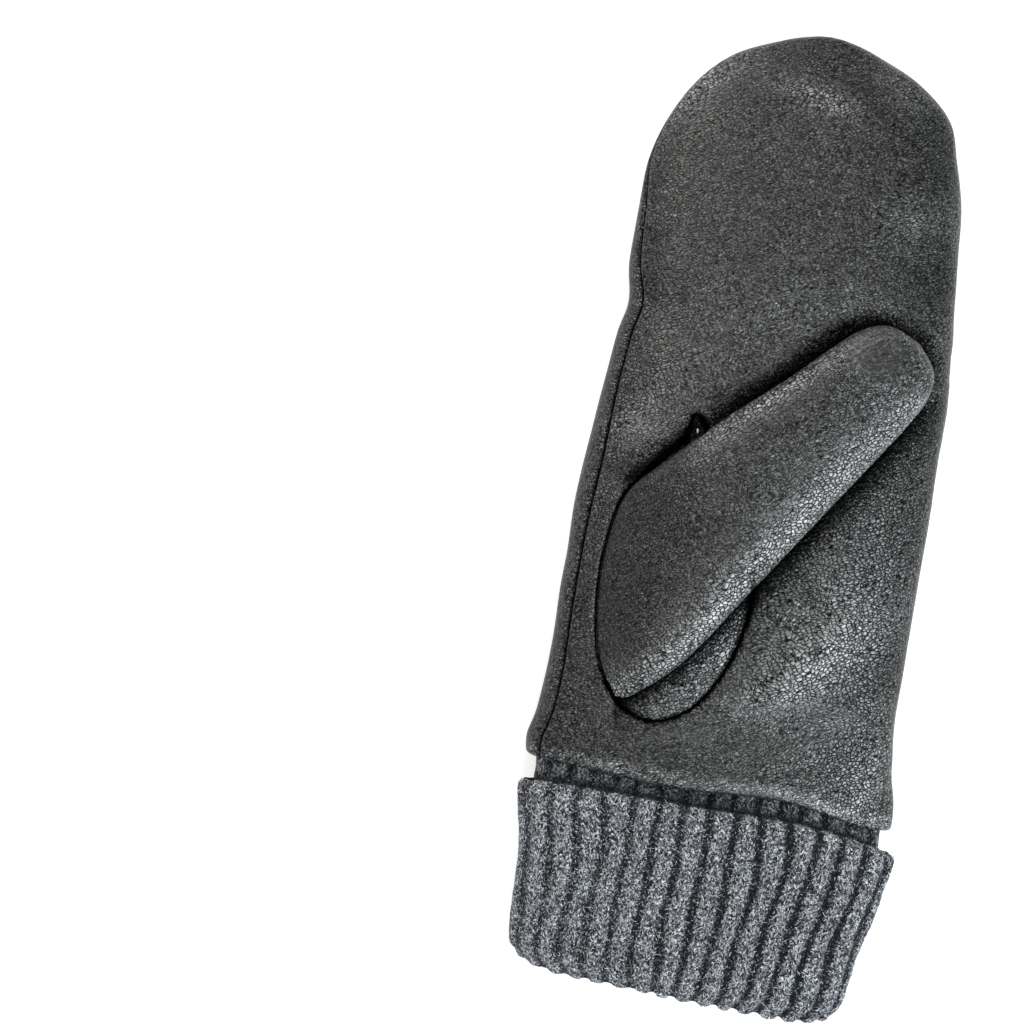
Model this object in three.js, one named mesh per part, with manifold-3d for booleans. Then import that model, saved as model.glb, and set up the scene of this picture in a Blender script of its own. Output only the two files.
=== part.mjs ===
import * as THREE from 'three';
import { mergeVertices } from 'three/addons/utils/BufferGeometryUtils.js';
import Module from 'manifold-3d';

// Leather mitten with a turned-up knitted cuff, lying palm up with its thumb folded over the palm.
// Millimetres. +X points to the little finger, +Y to the fingertips and +Z up, out of the palm.

// Driving sizes
const LEATHER = 1.8; // wall of a leather panel
const HEM_WALL = 2.6; // leather where it is turned in at the hem
const HEM_TURN = 12; // how far up the turned-in leather reaches
const KNIT = 2.2; // thickness of the knitted tube
const FOLD_GAP = 0.5; // air between the cuff and the tube that it is turned up over
const SEAM_GAP = 0.3; // gap between pieces that are sewn together
const REST_GAP = 0.7; // air between the thumb and the palm that it lies on
const SEAM_SINK = 0.9; // how far the leather dips where a seam pulls it in
const PRESS = 0.7; // how much of the back is flattened by lying on it
const SQUARENESS = 2.6; // exponent of a flattened section across the hand
const THUMB_LEAN = THREE.MathUtils.degToRad(36.5); // thumb's direction, turned from +Y to +X

const LEATHER_LOOK = { color: 0x434443, roughness: 0.5, metalness: 0 };
const KNIT_LOOK = { color: 0x656a72, roughness: 1, metalness: 0 };

// Hand: one row for each section from the hem to the fingertip. crown, edge and base are the heights of
// the palm's middle, of the two side edges and of the underside. palmSeam and backSeam are how far, in
// degrees round the section, the seams lie from the edges: on the palm at the thumb's side, on the back at
// the other side.
const HAND = [
  { y: -83.8, left: -56.6, right: 55.4, crown: 20.4, edge: 9.4, base: 0, palmSeam: 24, backSeam: 22 },
  { y: -77.0, left: -57.2, right: 55.0, crown: 21.4, edge: 9.5, base: 0, palmSeam: 25, backSeam: 22 },
  { y: -67.0, left: -55.4, right: 52.2, crown: 22.4, edge: 9.6, base: 0, palmSeam: 26, backSeam: 22 },
  { y: -54.0, left: -54.5, right: 51.3, crown: 23.0, edge: 9.7, base: 0, palmSeam: 26, backSeam: 22 },
  { y: -34.0, left: -54.5, right: 51.2, crown: 23.4, edge: 9.8, base: 0, palmSeam: 25, backSeam: 22 },
  { y: -10.0, left: -54.6, right: 51.2, crown: 23.8, edge: 9.8, base: 0, palmSeam: 26, backSeam: 22 },
  { y: 12.0, left: -53.8, right: 51.1, crown: 24.0, edge: 9.8, base: 0, palmSeam: 28, backSeam: 22 },
  { y: 32.0, left: -52.0, right: 51.2, crown: 23.8, edge: 9.7, base: 0, palmSeam: 25, backSeam: 22 },
  { y: 48.0, left: -50.4, right: 50.6, crown: 23.2, edge: 9.5, base: 0, palmSeam: 25, backSeam: 22 },
  { y: 58.0, left: -48.6, right: 49.6, crown: 22.8, edge: 9.3, base: 0, palmSeam: 25, backSeam: 22 },
  { y: 70.0, left: -50.4, right: 48.4, crown: 22.2, edge: 9.0, base: 0, palmSeam: 21, backSeam: 21 },
  { y: 86.0, left: -50.4, right: 46.9, crown: 20.9, edge: 8.6, base: 0, palmSeam: 17, backSeam: 19 },
  { y: 101.0, left: -49.8, right: 45.6, crown: 19.2, edge: 8.2, base: 0.2, palmSeam: 9, backSeam: 14 },
  { y: 115.0, left: -45.8, right: 41.8, crown: 17.2, edge: 7.8, base: 0.5, palmSeam: 3, backSeam: 8 },
  { y: 127.0, left: -39.2, right: 37.8, crown: 15.0, edge: 7.4, base: 1.1, palmSeam: 0, backSeam: 3 },
  { y: 136.6, left: -29.4, right: 27.0, crown: 12.6, edge: 7.1, base: 2.3, palmSeam: 0, backSeam: 0 },
  { y: 143.0, left: -15.6, right: 12.8, crown: 10.2, edge: 6.9, base: 4.1, palmSeam: 0, backSeam: 0 },
  { y: 145.6, left: -7.0, right: 4.2, crown: 8.4, edge: 6.9, base: 5.5, palmSeam: 0, backSeam: 0 },
  { y: 146.3, left: -1.6, right: -1.6, crown: 6.9, edge: 6.9, base: 6.9, palmSeam: 0, backSeam: 0 },
];
const HEM_WAVE = { height: 1.5, length: 62, lowAt: -12, cornerRise: 3.0, roundness: 8, fade: 18 };
const CAP = { rows: 6, wall: 1.4 }; // rows of the fingertip and the wall there along the hand, in walls
const TIP_TURN = { from: 4, to: 1 }; // rows before the last between which the seam turns to face ahead
const LIP_PLACES = [0, 0.18]; // row places round the hem's lip, before the even steps
const EVEN_FROM = 0.5; // row place from which the even steps start
const HAND_STEPS = 26; // even steps from there to the fingertip
const PANEL_COLUMNS = { palm: 18, back: 14 }; // facets across each panel

// Edge of a panel: shares of its width where its dip into the seam ends and where the even facets start
const SEAM_EDGE = 0.02;
const SEAM_SHOULDER = 0.07;

// Rounding of the hem's lip, outside and inside, as shares of the wall
const LIP = { outside: 0.45, inside: 0.27 };

// Thumb: one row for each section across it, from the bottom of its hole to its tip. along and the two sides
// are measured in the thumb's own direction from the part's origin, the lifts are heights of the side folds
// above the palm, and bulge is the height of the top above them. steepness shapes the rise from the upper
// side.
const THUMB = [
  { along: -67.4, upper: 8.6, lower: 8.6, upperLift: 0.5, lowerLift: 0.5, bulge: 0, steepness: 0.9 },
  { along: -65.2, upper: 2.0, lower: 11.0, upperLift: 0.4, lowerLift: 1.0, bulge: 1.0, steepness: 0.9 },
  { along: -60.0, upper: -6.6, lower: 13.8, upperLift: 0.3, lowerLift: 2.2, bulge: 3.4, steepness: 0.9 },
  { along: -50.0, upper: -16.6, lower: 16.8, upperLift: 0.3, lowerLift: 3.6, bulge: 6.0, steepness: 0.9 },
  { along: -37.0, upper: -26.1, lower: 17.3, upperLift: 0.3, lowerLift: 4.4, bulge: 7.4, steepness: 0.85 },
  { along: -22.0, upper: -32.5, lower: 15.9, upperLift: 1.2, lowerLift: 4.6, bulge: 7.8, steepness: 0.7 },
  { along: -5.0, upper: -30.4, lower: 15.3, upperLift: 4.0, lowerLift: 4.6, bulge: 7.6, steepness: 0.45 },
  { along: 14.0, upper: -27.5, lower: 14.9, upperLift: 4.6, lowerLift: 4.6, bulge: 7.4, steepness: 0.42 },
  { along: 34.0, upper: -23.7, lower: 13.6, upperLift: 4.6, lowerLift: 4.6, bulge: 7.0, steepness: 0.42 },
  { along: 50.0, upper: -21.0, lower: 12.0, upperLift: 4.6, lowerLift: 4.6, bulge: 6.4, steepness: 0.42 },
  { along: 60.0, upper: -18.6, lower: 10.4, upperLift: 4.6, lowerLift: 4.6, bulge: 5.4, steepness: 0.42 },
  { along: 67.0, upper: -13.4, lower: 5.2, upperLift: 4.6, lowerLift: 4.6, bulge: 3.4, steepness: 0.45 },
  { along: 69.8, upper: -4.0, lower: -4.0, upperLift: 4.6, lowerLift: 4.6, bulge: 0, steepness: 0.5 },
];
const LOWER_STEEPNESS = 0.42; // shapes the rise from the lower side
const THUMB_DEPTH = 6.5; // depth of the thumb below its side folds, before it meets the palm
const THUMB_FULL = 4; // bulge from which a section of the thumb has its full depth
const THUMB_END_WALL = 1.5; // wall at the two ends of the thumb's hollow, in walls
const THUMB_SIDES = 11; // facets across the thumb
const THUMB_STEPS = 18; // facets along the thumb
const HOLLOW_START = 2.4; // row place at which the thumb's hollow starts
const HOLLOW_STEPS = 12; // facets along the hollow

// Thumb hole in the palm, seen from above: a leaf with its point towards the fingers
const HOLE = [
  { x: -40.2, y: 1.0 },
  { x: -43.5, y: -14.0 },
  { x: -43.2, y: -34.0 },
  { x: -39.2, y: -51.5 },
  { x: -31.6, y: -61.6 },
  { x: -21.5, y: -65.0 },
  { x: -11.5, y: -60.2 },
  { x: -3.2, y: -48.0 },
  { x: 1.4, y: -29.0 },
  { x: -1.0, y: -10.0 },
  { x: -8.6, y: 7.0 },
  { x: -18.4, y: 22.0 },
  { x: -23.8, y: 27.2 },
  { x: -25.6, y: 19.8 },
  { x: -33.0, y: 10.0 },
];
const HOLE_SIDES = 44;
const HOLE_CENTRE = new THREE.Vector2(-22, -19);
const HOLE_CUT = { from: 8, to: 60 }; // heights between which the palm is cut, clear of the back
const BASE_SWELL = 2.4; // rise of the thumb's base above the palm in the middle of the hole
const BASE_RINGS = [1, 0.86, 0.6, 0]; // rings of the base, as shares of the way from its middle to its rim
const BASE_GAP = SEAM_GAP * 1.2; // gap between the base and the palm round it

// Inside the hole the thumb's underside dips into its base, and its hollow opens down into the hand. Each
// goes down by its depth from a distance inside the hole's rim to another.
const BASE_DIP = { depth: 3, from: 3.5, to: 12 };
const THROAT = { depth: 8, from: 6, to: 14 };

// The palm gives way under the thumb
const DENT = { depth: 1.4, fromAlong: -30, toAlong: 74, fromSide: -32, toSide: 17, soft: 16 };

// Turned-up cuff, outside: one row for each section from the fold to its upper edge
const CUFF = [
  { up: 0.0, left: -50.6, right: 46.8, crown: 20.6, edge: 10.4, base: 1.4 },
  { up: 0.1, left: -52.2, right: 48.9, crown: 22.2, edge: 10.6, base: 0.4 },
  { up: 0.38, left: -53.0, right: 51.0, crown: 22.8, edge: 10.8, base: 0.2 },
  { up: 0.66, left: -53.9, right: 54.4, crown: 23.4, edge: 10.9, base: 0.2 },
  { up: 0.9, left: -56.5, right: 56.6, crown: 23.8, edge: 11.0, base: 0.3 },
  { up: 1.0, left: -57.2, right: 57.0, crown: 23.4, edge: 11.0, base: 0.8 },
];
const FOLD = { y: -145.4, cornerRise: 6.5, roundness: 6 }; // lower end, higher at its two corners
const UPPER_EDGE = { y: -88.0, cornerDrop: 5.2, roundness: 4 }; // upper end, lower at its two corners

// Knitted tube, outside, below the hem. Inside the hem it follows the leather.
const TUBE = [
  { y: -89.0, left: -52.6, right: 51.6, crown: 18.0, edge: 9.8, base: 3.6 },
  { y: -100.0, left: -51.4, right: 51.4, crown: 20.0, edge: 10.6, base: 3.0 },
];
const SEWN_IN = [-64, -76, -84]; // sections where the tube is sewn inside the hem
const KNIT_EASE = 0.5; // how much the knit gives way inside the hem
const TURN_IN = KNIT + FOLD_GAP; // from the cuff's outside to the outside of the tube within it
const FOLD_ROUND = 0.9; // how far the fold bulges down in its middle and draws in at its two sides
const SECTION_SAMPLES = 240; // points from which a knitted section is measured out
const RIBS = 30;
const POINTS_PER_RIB = 3; // one in the groove and two on the rib
const RIB_RELIEF = 0.6; // half the height of a rib

const SAME_POINT = 1e-4; // points nearer to each other than this are one
const POLE = 1e-3; // a row no larger than this is a pole

const wasm = await Module();
wasm.setup();

// Evenly spread values from one to another
const spread = (from, to, steps) => (
  Array.from({ length: steps + 1 }, (_, k) => THREE.MathUtils.lerp(from, to, k / steps))
);

// Value of one column at a place between the rows of a table, on a smooth curve through all rows
function between(table, place, column) {
  const last = table.length - 1;
  const row = THREE.MathUtils.clamp(Math.floor(place), 0, last - 1);
  const part = place - row;
  const at = (index) => table[THREE.MathUtils.clamp(index, 0, last)][column];
  const [before, from, to, after] = [at(row - 1), at(row), at(row + 1), at(row + 2)];
  const bend = 2 * before - 5 * from + 4 * to - after;
  const twist = 3 * (from - to) + after - before;
  return from + 0.5 * part * (to - before + part * (bend + part * twist));
}

// Place between the rows at which a rising or falling column reaches a value
function placeOf(table, column, value) {
  const rising = table[table.length - 1][column] > table[0][column];
  let [low, high] = [0, table.length - 1];
  for (let step = 0; step < 40; step++) {
    const middle = (low + high) / 2;
    const short = rising === between(table, middle, column) < value;
    [low, high] = short ? [middle, high] : [low, middle];
  }
  return (low + high) / 2;
}

const columnsAt = (table, place, columns) => (
  Object.fromEntries(columns.map((column) => [column, between(table, place, column)]))
);

const SECTION = ['left', 'right', 'crown', 'edge', 'base'];

// Half a size less a wall, never turned inside out
const lessWall = (half, wall) => half - wall * Math.min(1, half / (3 * Math.max(wall, 0.01)));

// Rows of points, each row a closed loop, skinned into one closed surface. A row of equal points is a pole.
// ladder closes the first row, where its loop runs out along one side of a wall and back along the other.
function skin(rows, { ring = false, ladder = false } = {}) {
  const count = rows[0].length;
  const isPole = (row) => row.every((point) => point.distanceTo(row[0]) < POLE);
  const points = rows.flatMap((row) => (isPole(row) ? row.map(() => row[0]) : row));
  const index = [];
  const quad = (a, b, c, d) => index.push(a, b, c, a, c, d);
  const spans = ring ? rows.length : rows.length - 1;
  for (let row = 0; row < spans; row++) {
    const from = row * count;
    const to = ((row + 1) % rows.length) * count;
    for (let k = 0; k < count; k++) {
      const next = (k + 1) % count;
      quad(from + k, from + next, to + next, to + k);
    }
  }
  for (let k = 0; ladder && k < count / 2 - 1; k++) {
    quad(k + 1, k, count - 1 - k, count - 2 - k);
  }
  const loose = new THREE.BufferGeometry();
  loose.setAttribute('position', new THREE.Float32BufferAttribute(points.flatMap((p) => p.toArray()), 3));
  loose.setIndex(index);
  return outward(withoutSlivers(mergeVertices(loose, SAME_POINT)));
}

// The same geometry without triangles that lost a side when equal points were merged
function withoutSlivers(geometry) {
  const { array } = geometry.index;
  const kept = [];
  for (let k = 0; k < array.length; k += 3) {
    const [a, b, c] = [array[k], array[k + 1], array[k + 2]];
    if (a !== b && b !== c && c !== a) {
      kept.push(a, b, c);
    }
  }
  geometry.setIndex(kept);
  return geometry;
}

// The same geometry with its faces pointing out, which its signed volume tells
function outward(geometry) {
  const { array } = geometry.index;
  const [a, b, c] = [new THREE.Vector3(), new THREE.Vector3(), new THREE.Vector3()];
  const position = geometry.attributes.position;
  let volume = 0;
  for (let k = 0; k < array.length; k += 3) {
    a.fromBufferAttribute(position, array[k]);
    b.fromBufferAttribute(position, array[k + 1]);
    c.fromBufferAttribute(position, array[k + 2]);
    volume += a.dot(b.cross(c));
  }
  if (volume < 0) {
    geometry.setIndex(Array.from(array).reverse());
  }
  return geometry;
}

// A geometry as a solid that can be cut and joined, and back
function solidOf(geometry) {
  const bare = geometry.clone();
  bare.deleteAttribute('normal');
  bare.deleteAttribute('uv');
  const merged = withoutSlivers(mergeVertices(bare, SAME_POINT));
  return new wasm.Manifold(new wasm.Mesh({
    numProp: 3,
    vertProperties: new Float32Array(merged.attributes.position.array),
    triVerts: new Uint32Array(merged.index.array),
  }));
}

function geometryOf(solid) {
  const { vertProperties, triVerts } = solid.getMesh();
  const geometry = new THREE.BufferGeometry();
  geometry.setAttribute('position', new THREE.BufferAttribute(new Float32Array(vertProperties), 3));
  geometry.setIndex(new THREE.BufferAttribute(new Uint32Array(triVerts), 1));
  return geometry;
}

// Point in the thumb's own direction as a point of the part
function fromThumb(along, side) {
  const [sine, cosine] = [Math.sin(THUMB_LEAN), Math.cos(THUMB_LEAN)];
  return { x: along * sine + side * cosine, y: along * cosine - side * sine };
}

// Depth of the dent under the thumb
function dentAt(x, y) {
  const [sine, cosine] = [Math.sin(THUMB_LEAN), Math.cos(THUMB_LEAN)];
  const along = x * sine + y * cosine;
  const side = x * cosine - y * sine;
  const { smoothstep } = THREE.MathUtils;
  const { fromAlong, toAlong, fromSide, toSide, soft } = DENT;
  const near = smoothstep(along, fromAlong, fromAlong + 2 * soft);
  const far = smoothstep(-along, -toAlong, soft - toAlong);
  const across = smoothstep(side, fromSide, fromSide + soft) * smoothstep(-side, -toSide, soft - toSide);
  return DENT.depth * near * far * across;
}

// Height of the palm's outside at a point seen from above
function palmHeight(x, y) {
  const { left, right, crown, edge } = columnsAt(HAND, placeOf(HAND, 'y', y), SECTION);
  const across = Math.min(Math.abs((2 * x - left - right) / (right - left)), 1);
  return edge + (crown - edge) * Math.sqrt(1 - across ** SQUARENESS) - dentAt(x, y);
}

// How far the waved hem moves the leather up or down the hand, fading out above the hem
function hemShift(place, x) {
  const { height, length, lowAt, cornerRise, roundness, fade } = HEM_WAVE;
  const { y, left, right } = columnsAt(HAND, place, ['y', 'left', 'right']);
  const across = THREE.MathUtils.clamp((2 * x - left - right) / (right - left || 1), -1, 1);
  const wave = -height * Math.cos((2 * Math.PI * (x - lowAt)) / length) * (1 - across ** 4);
  const corner = across < 0 ? cornerRise * Math.abs(across) ** roundness : 0;
  return (wave + corner) * (1 - THREE.MathUtils.smoothstep(y - HAND[0].y, 0, fade));
}

// Point on the hand at a row place, at an angle round the section: 0 at the little finger's edge, a quarter
// turn on the palm. The section is a flattened oval, pressed flat on its back. depth goes into the wall.
function handPoint(place, angle, depth) {
  const { left, right, crown, edge, base } = columnsAt(HAND, place, SECTION);
  const [cosine, sine] = [Math.cos(angle), Math.sin(angle)];
  const halfWidth = lessWall((right - left) / 2, depth);
  const rise = lessWall(crown - edge, depth);
  const press = PRESS * Math.max(1 - base, 0);
  const drop = lessWall(edge - base, depth) + press;
  const x = (left + right) / 2 + halfWidth * Math.sign(cosine) * Math.abs(cosine) ** (2 / SQUARENESS);
  const tip = THREE.MathUtils.smoothstep(place, HAND.length - CAP.rows, HAND.length - 1);
  const y = between(HAND, place, 'y') - depth * CAP.wall * tip + hemShift(place, x);
  if (sine >= 0) {
    return new THREE.Vector3(x, y, edge + rise * sine - dentAt(x, y) * sine);
  }
  return new THREE.Vector3(x, y, Math.max(edge + drop * sine, depth));
}

// A row of equal points in the middle of another row, moved by a shift, which closes it with a fan
function middleOf(row, shift) {
  const middle = shift.clone();
  row.forEach((point) => middle.addScaledVector(point, 1 / row.length));
  return row.map(() => middle);
}

// Leather wall at a row place, thicker where the hem is turned in
function leatherWall(place) {
  const up = between(HAND, place, 'y') - HAND[0].y;
  return THREE.MathUtils.lerp(HEM_WALL, LEATHER, THREE.MathUtils.smoothstep(up, HEM_TURN * 0.5, HEM_TURN));
}

// Shares of a panel's width at which its columns lie, closer near its seams
function panelShares(columns) {
  return [0, SEAM_EDGE, ...spread(SEAM_SHOULDER, 1 - SEAM_SHOULDER, columns - 4), 1 - SEAM_EDGE, 1];
}

// One leather panel between two angles. Its outside dips into both seams, and half of each seam's gap is
// left free.
function panel(fromAngle, toAngle, columns) {
  const shares = panelShares(columns);
  const places = [...LIP_PLACES, ...spread(EVEN_FROM, HAND.length - 1, HAND_STEPS)];
  const tip = places.length - 1;
  const lastPlace = places[tip];
  const towards = Math.sin((fromAngle(0) + toAngle(0)) / 2) > 0 ? 1 : -1;
  const rows = places.map((place, row) => {
    const [from, to] = [fromAngle(place), toAngle(place)];
    const [outerLip, innerLip] = row === 0 ? [LEATHER * LIP.outside, LEATHER * LIP.inside] : [0, 0];
    const turned = THREE.MathUtils.smoothstep(place, lastPlace - TIP_TURN.from, lastPlace - TIP_TURN.to);
    const sheet = (depth, sink) => shares.map((share, column) => {
      const atSeam = column === 0 || column === shares.length - 1;
      const sunk = depth + (atSeam ? sink : 0);
      const point = handPoint(place, from + (to - from) * share, sunk);
      const inner = THREE.MathUtils.clamp(share, SEAM_EDGE, 1 - SEAM_EDGE);
      if (atSeam && row !== tip) {
        point.add(handPoint(place, from + (to - from) * inner, sunk).sub(point).setLength(SEAM_GAP / 2));
      }
      point.z += ((towards * SEAM_GAP) / 2) * turned;
      return point;
    });
    const outside = sheet(outerLip, row === tip ? 0 : SEAM_SINK);
    const inside = sheet(leatherWall(place) - innerLip, 0);
    return [...outside, ...inside.reverse()];
  });
  return skin(rows, { ladder: true });
}

// Angles of the two seams at a row place
const palmSeam = (place) => Math.PI - THREE.MathUtils.degToRad(between(HAND, place, 'palmSeam'));
const backSeam = (place) => -THREE.MathUtils.degToRad(between(HAND, place, 'backSeam'));

// Outline of the thumb hole, moved inwards by a distance
function holeOutline(inset) {
  const points = HOLE.map(({ x, y }) => new THREE.Vector3(x, y, 0));
  const curve = new THREE.CatmullRomCurve3(points, true, 'centripetal');
  return Array.from({ length: HOLE_SIDES }, (_, k) => {
    const tangent = curve.getTangentAt(k / HOLE_SIDES);
    const point = curve.getPointAt(k / HOLE_SIDES);
    return new THREE.Vector2(point.x - tangent.y * inset, point.y + tangent.x * inset);
  });
}

const HOLE_RIM = holeOutline(0);

// Upright prism that cuts the thumb hole
function holeCutter() {
  const depth = HOLE_CUT.to - HOLE_CUT.from;
  const geometry = new THREE.ExtrudeGeometry(new THREE.Shape(HOLE_RIM), { depth, bevelEnabled: false });
  return solidOf(geometry.translate(0, 0, HOLE_CUT.from));
}

// Low swelling in the thumb hole: closed below, flush with the palm at its rim and risen in the middle. sink
// is how far its top lies below the leather's outside, and below how far its bottom does.
function thumbBase(inset, sink, below) {
  const outline = holeOutline(inset);
  const ring = (share, height) => outline.map((corner) => {
    const { x, y } = HOLE_CENTRE.clone().lerp(corner, share);
    return new THREE.Vector3(x, y, palmHeight(x, y) + height);
  });
  const top = BASE_RINGS.map((share) => ring(share, BASE_SWELL * (1 - share ** 3) - sink));
  return solidOf(skin([ring(0, -below), ring(1, -below), ...top]));
}

// How far inside the rim of the thumb hole a point lies, negative outside it
function holeInset(x, y) {
  const point = new THREE.Vector2(x, y);
  let [nearest, inside] = [Infinity, false];
  HOLE_RIM.forEach((from, k) => {
    const to = HOLE_RIM[(k + 1) % HOLE_RIM.length];
    const side = to.clone().sub(from);
    const share = THREE.MathUtils.clamp(point.clone().sub(from).dot(side) / side.lengthSq(), 0, 1);
    nearest = Math.min(nearest, point.distanceTo(from.clone().addScaledVector(side, share)));
    const crosses = (from.y > y) !== (to.y > y) && x < from.x + (side.x * (y - from.y)) / side.y;
    inside = crosses ? !inside : inside;
  });
  return inside ? nearest : -nearest;
}

const dip = (inset, { depth, from, to }) => depth * THREE.MathUtils.smoothstep(inset, from, to);

// Flat tube of the thumb as a solid. Each section is a loop: over the top from the upper to the lower side,
// and back underneath. wall makes it smaller all round.
function thumbTube(places, wall, underside) {
  const shares = spread(0, Math.PI, THUMB_SIDES).map((angle) => (1 - Math.cos(angle)) / 2);
  const rows = places.map((place, row) => {
    const cut = columnsAt(THUMB, place, Object.keys(THUMB[0]));
    const end = row === 0 ? 1 : row === places.length - 1 ? -1 : 0;
    const along = cut.along + end * wall * THUMB_END_WALL;
    const width = lessWall((cut.lower - cut.upper) / 2, wall);
    const middle = (cut.lower + cut.upper) / 2;
    const peak = cut.steepness / (cut.steepness + LOWER_STEEPNESS);
    const sideHeight = (side, lift) => {
      const { x, y } = fromThumb(along, side);
      return palmHeight(x, y) + dentAt(x, y) + lift;
    };
    const [upperZ, lowerZ] = [sideHeight(cut.upper, cut.upperLift), sideHeight(cut.lower, cut.lowerLift)];
    const point = (share, height) => {
      const { x, y } = fromThumb(along, middle - width + 2 * width * share);
      return new THREE.Vector3(x, y, THREE.MathUtils.lerp(upperZ, lowerZ, share) + height(share, x, y));
    };
    const over = (share) => (
      Math.max(cut.bulge - wall, 0) * (share / peak) ** cut.steepness
        * ((1 - share) / (1 - peak)) ** LOWER_STEEPNESS
    );
    const top = shares.map((share) => point(share, over));
    const bottom = shares.slice(1, -1).reverse().map((share) => point(share, (part, x, y) => {
      const line = THREE.MathUtils.lerp(upperZ, lowerZ, part);
      const deep = -THUMB_DEPTH * Math.sqrt(4 * part * (1 - part)) * Math.min(1, cut.bulge / THUMB_FULL);
      return Math.min(Math.max(deep, underside(x, y) - line), over(part) / 2);
    }));
    return [...top, ...bottom];
  });
  const { x, y } = fromThumb(-wall, 0);
  return solidOf(skin([middleOf(rows[0], new THREE.Vector3(x, y, -wall / 4)), ...rows]));
}

// Section of a knitted tube with its points evenly spread round it, pushed in and out by the ribs
function knitLoop({ left, right, crown, edge, base }, depth, yAt) {
  const halfWidth = (right - left) / 2 - depth;
  const outline = Array.from({ length: SECTION_SAMPLES }, (_, k) => {
    const angle = (2 * Math.PI * k) / SECTION_SAMPLES;
    const [cosine, sine] = [Math.cos(angle), Math.sin(angle)];
    const reach = sine >= 0 ? crown - edge - depth : edge - base - depth;
    return new THREE.Vector3(
      (left + right) / 2 + halfWidth * Math.sign(cosine) * Math.abs(cosine) ** (2 / SQUARENESS),
      0,
      edge + reach * sine,
    );
  });
  const curve = new THREE.CatmullRomCurve3(outline, true);
  curve.arcLengthDivisions = 4 * SECTION_SAMPLES;
  const count = RIBS * POINTS_PER_RIB;
  return Array.from({ length: count }, (_, k) => {
    const point = curve.getPointAt(k / count);
    const tangent = curve.getTangentAt(k / count);
    const push = k % POINTS_PER_RIB === 0 ? -RIB_RELIEF : RIB_RELIEF;
    point.x += tangent.z * push;
    point.z = Math.max(point.z - tangent.x * push, 0);
    point.y = yAt(Math.abs((2 * point.x - left - right) / (right - left)));
    return point;
  });
}

// The cuff's wall runs down inside the hem and, round the fold, up outside: one loop of sections, each at a
// share of the way up the turned-up part and at a depth below its outside
function knitCuff() {
  const foldY = (across) => FOLD.y + FOLD.cornerRise * Math.min(across, 1) ** FOLD.roundness;
  const { y: top, cornerDrop, roundness } = UPPER_EDGE;
  const edgeY = (across) => top - cornerDrop * Math.min(across, 1) ** roundness;
  const turnUp = (up, depth, shift = 0) => {
    const cut = columnsAt(CUFF, placeOf(CUFF, 'up', up), SECTION);
    return knitLoop(cut, depth, (across) => THREE.MathUtils.lerp(foldY(across), edgeY(across), up) + shift);
  };
  const tube = (row, depth) => knitLoop(TUBE[row], depth, () => TUBE[row].y);
  const sewnIn = (y, depth) => {
    const place = placeOf(HAND, 'y', y);
    const { left, right, crown, edge, base } = columnsAt(HAND, place, SECTION);
    const inset = leatherWall(place) + SEAM_GAP + RIB_RELIEF + KNIT_EASE;
    const cut = { left: left + inset, right: right - inset, crown: crown - inset, edge, base: base + inset };
    return knitLoop(cut, depth, () => y);
  };
  return skin([
    ...SEWN_IN.map((y) => sewnIn(y, KNIT)),
    ...TUBE.map((_, row) => tube(row, KNIT)),
    turnUp(0.38, TURN_IN + KNIT),
    turnUp(0.08, TURN_IN + KNIT),
    turnUp(0, TURN_IN + KNIT * 0.6, FOLD_ROUND),
    turnUp(0, (TURN_IN + KNIT) / 2, -FOLD_ROUND),
    turnUp(0, KNIT * 0.4, FOLD_ROUND),
    turnUp(0.1, 0),
    turnUp(0.38, 0),
    turnUp(0.66, 0),
    turnUp(0.9, 0),
    turnUp(0.98, 0),
    turnUp(1, KNIT / 2),
    turnUp(0.98, KNIT),
    turnUp(0.66, KNIT),
    turnUp(0.1, KNIT),
    turnUp(0.06, KNIT + FOLD_GAP / 2),
    turnUp(0.1, TURN_IN),
    turnUp(0.38, TURN_IN),
    ...TUBE.map((_, row) => tube(row, 0)).reverse(),
    ...SEWN_IN.map((y) => sewnIn(y, 0)).reverse(),
  ], { ring: true });
}

// Leather panels
const palm = solidOf(panel(backSeam, palmSeam, PANEL_COLUMNS.palm)).subtract(holeCutter());
const back = panel(palmSeam, (place) => backSeam(place) + 2 * Math.PI, PANEL_COLUMNS.back);

// Thumb: its tube and its base made one, less their hollows
const thumbEnd = THUMB.length - 1;
const underside = (x, y) => palmHeight(x, y) + REST_GAP - dip(holeInset(x, y), BASE_DIP);
const hollowUnderside = (x, y) => underside(x, y) + LEATHER - dip(holeInset(x, y), THROAT);
const tube = thumbTube(spread(0, thumbEnd, THUMB_STEPS), 0, underside);
const tubeHollow = thumbTube(spread(HOLLOW_START, thumbEnd, HOLLOW_STEPS), LEATHER, hollowUnderside);
const base = thumbBase(BASE_GAP, 0, LEATHER);
const baseHollow = thumbBase(SEAM_GAP + LEATHER, LEATHER, LEATHER * 2);
const thumb = tube.add(base).subtract(tubeHollow.add(baseHollow));

const mitten = new THREE.Group();
const pieces = [
  ['palm_panel', geometryOf(palm), LEATHER_LOOK],
  ['back_panel', back, LEATHER_LOOK],
  ['thumb', geometryOf(thumb), LEATHER_LOOK],
  ['knit_cuff', knitCuff(), KNIT_LOOK],
];
for (const [name, geometry, look] of pieces) {
  const mesh = new THREE.Mesh(geometry, new THREE.MeshStandardMaterial(look));
  mesh.name = name;
  mitten.add(mesh);
}

export default mitten;
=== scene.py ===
import math

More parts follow.
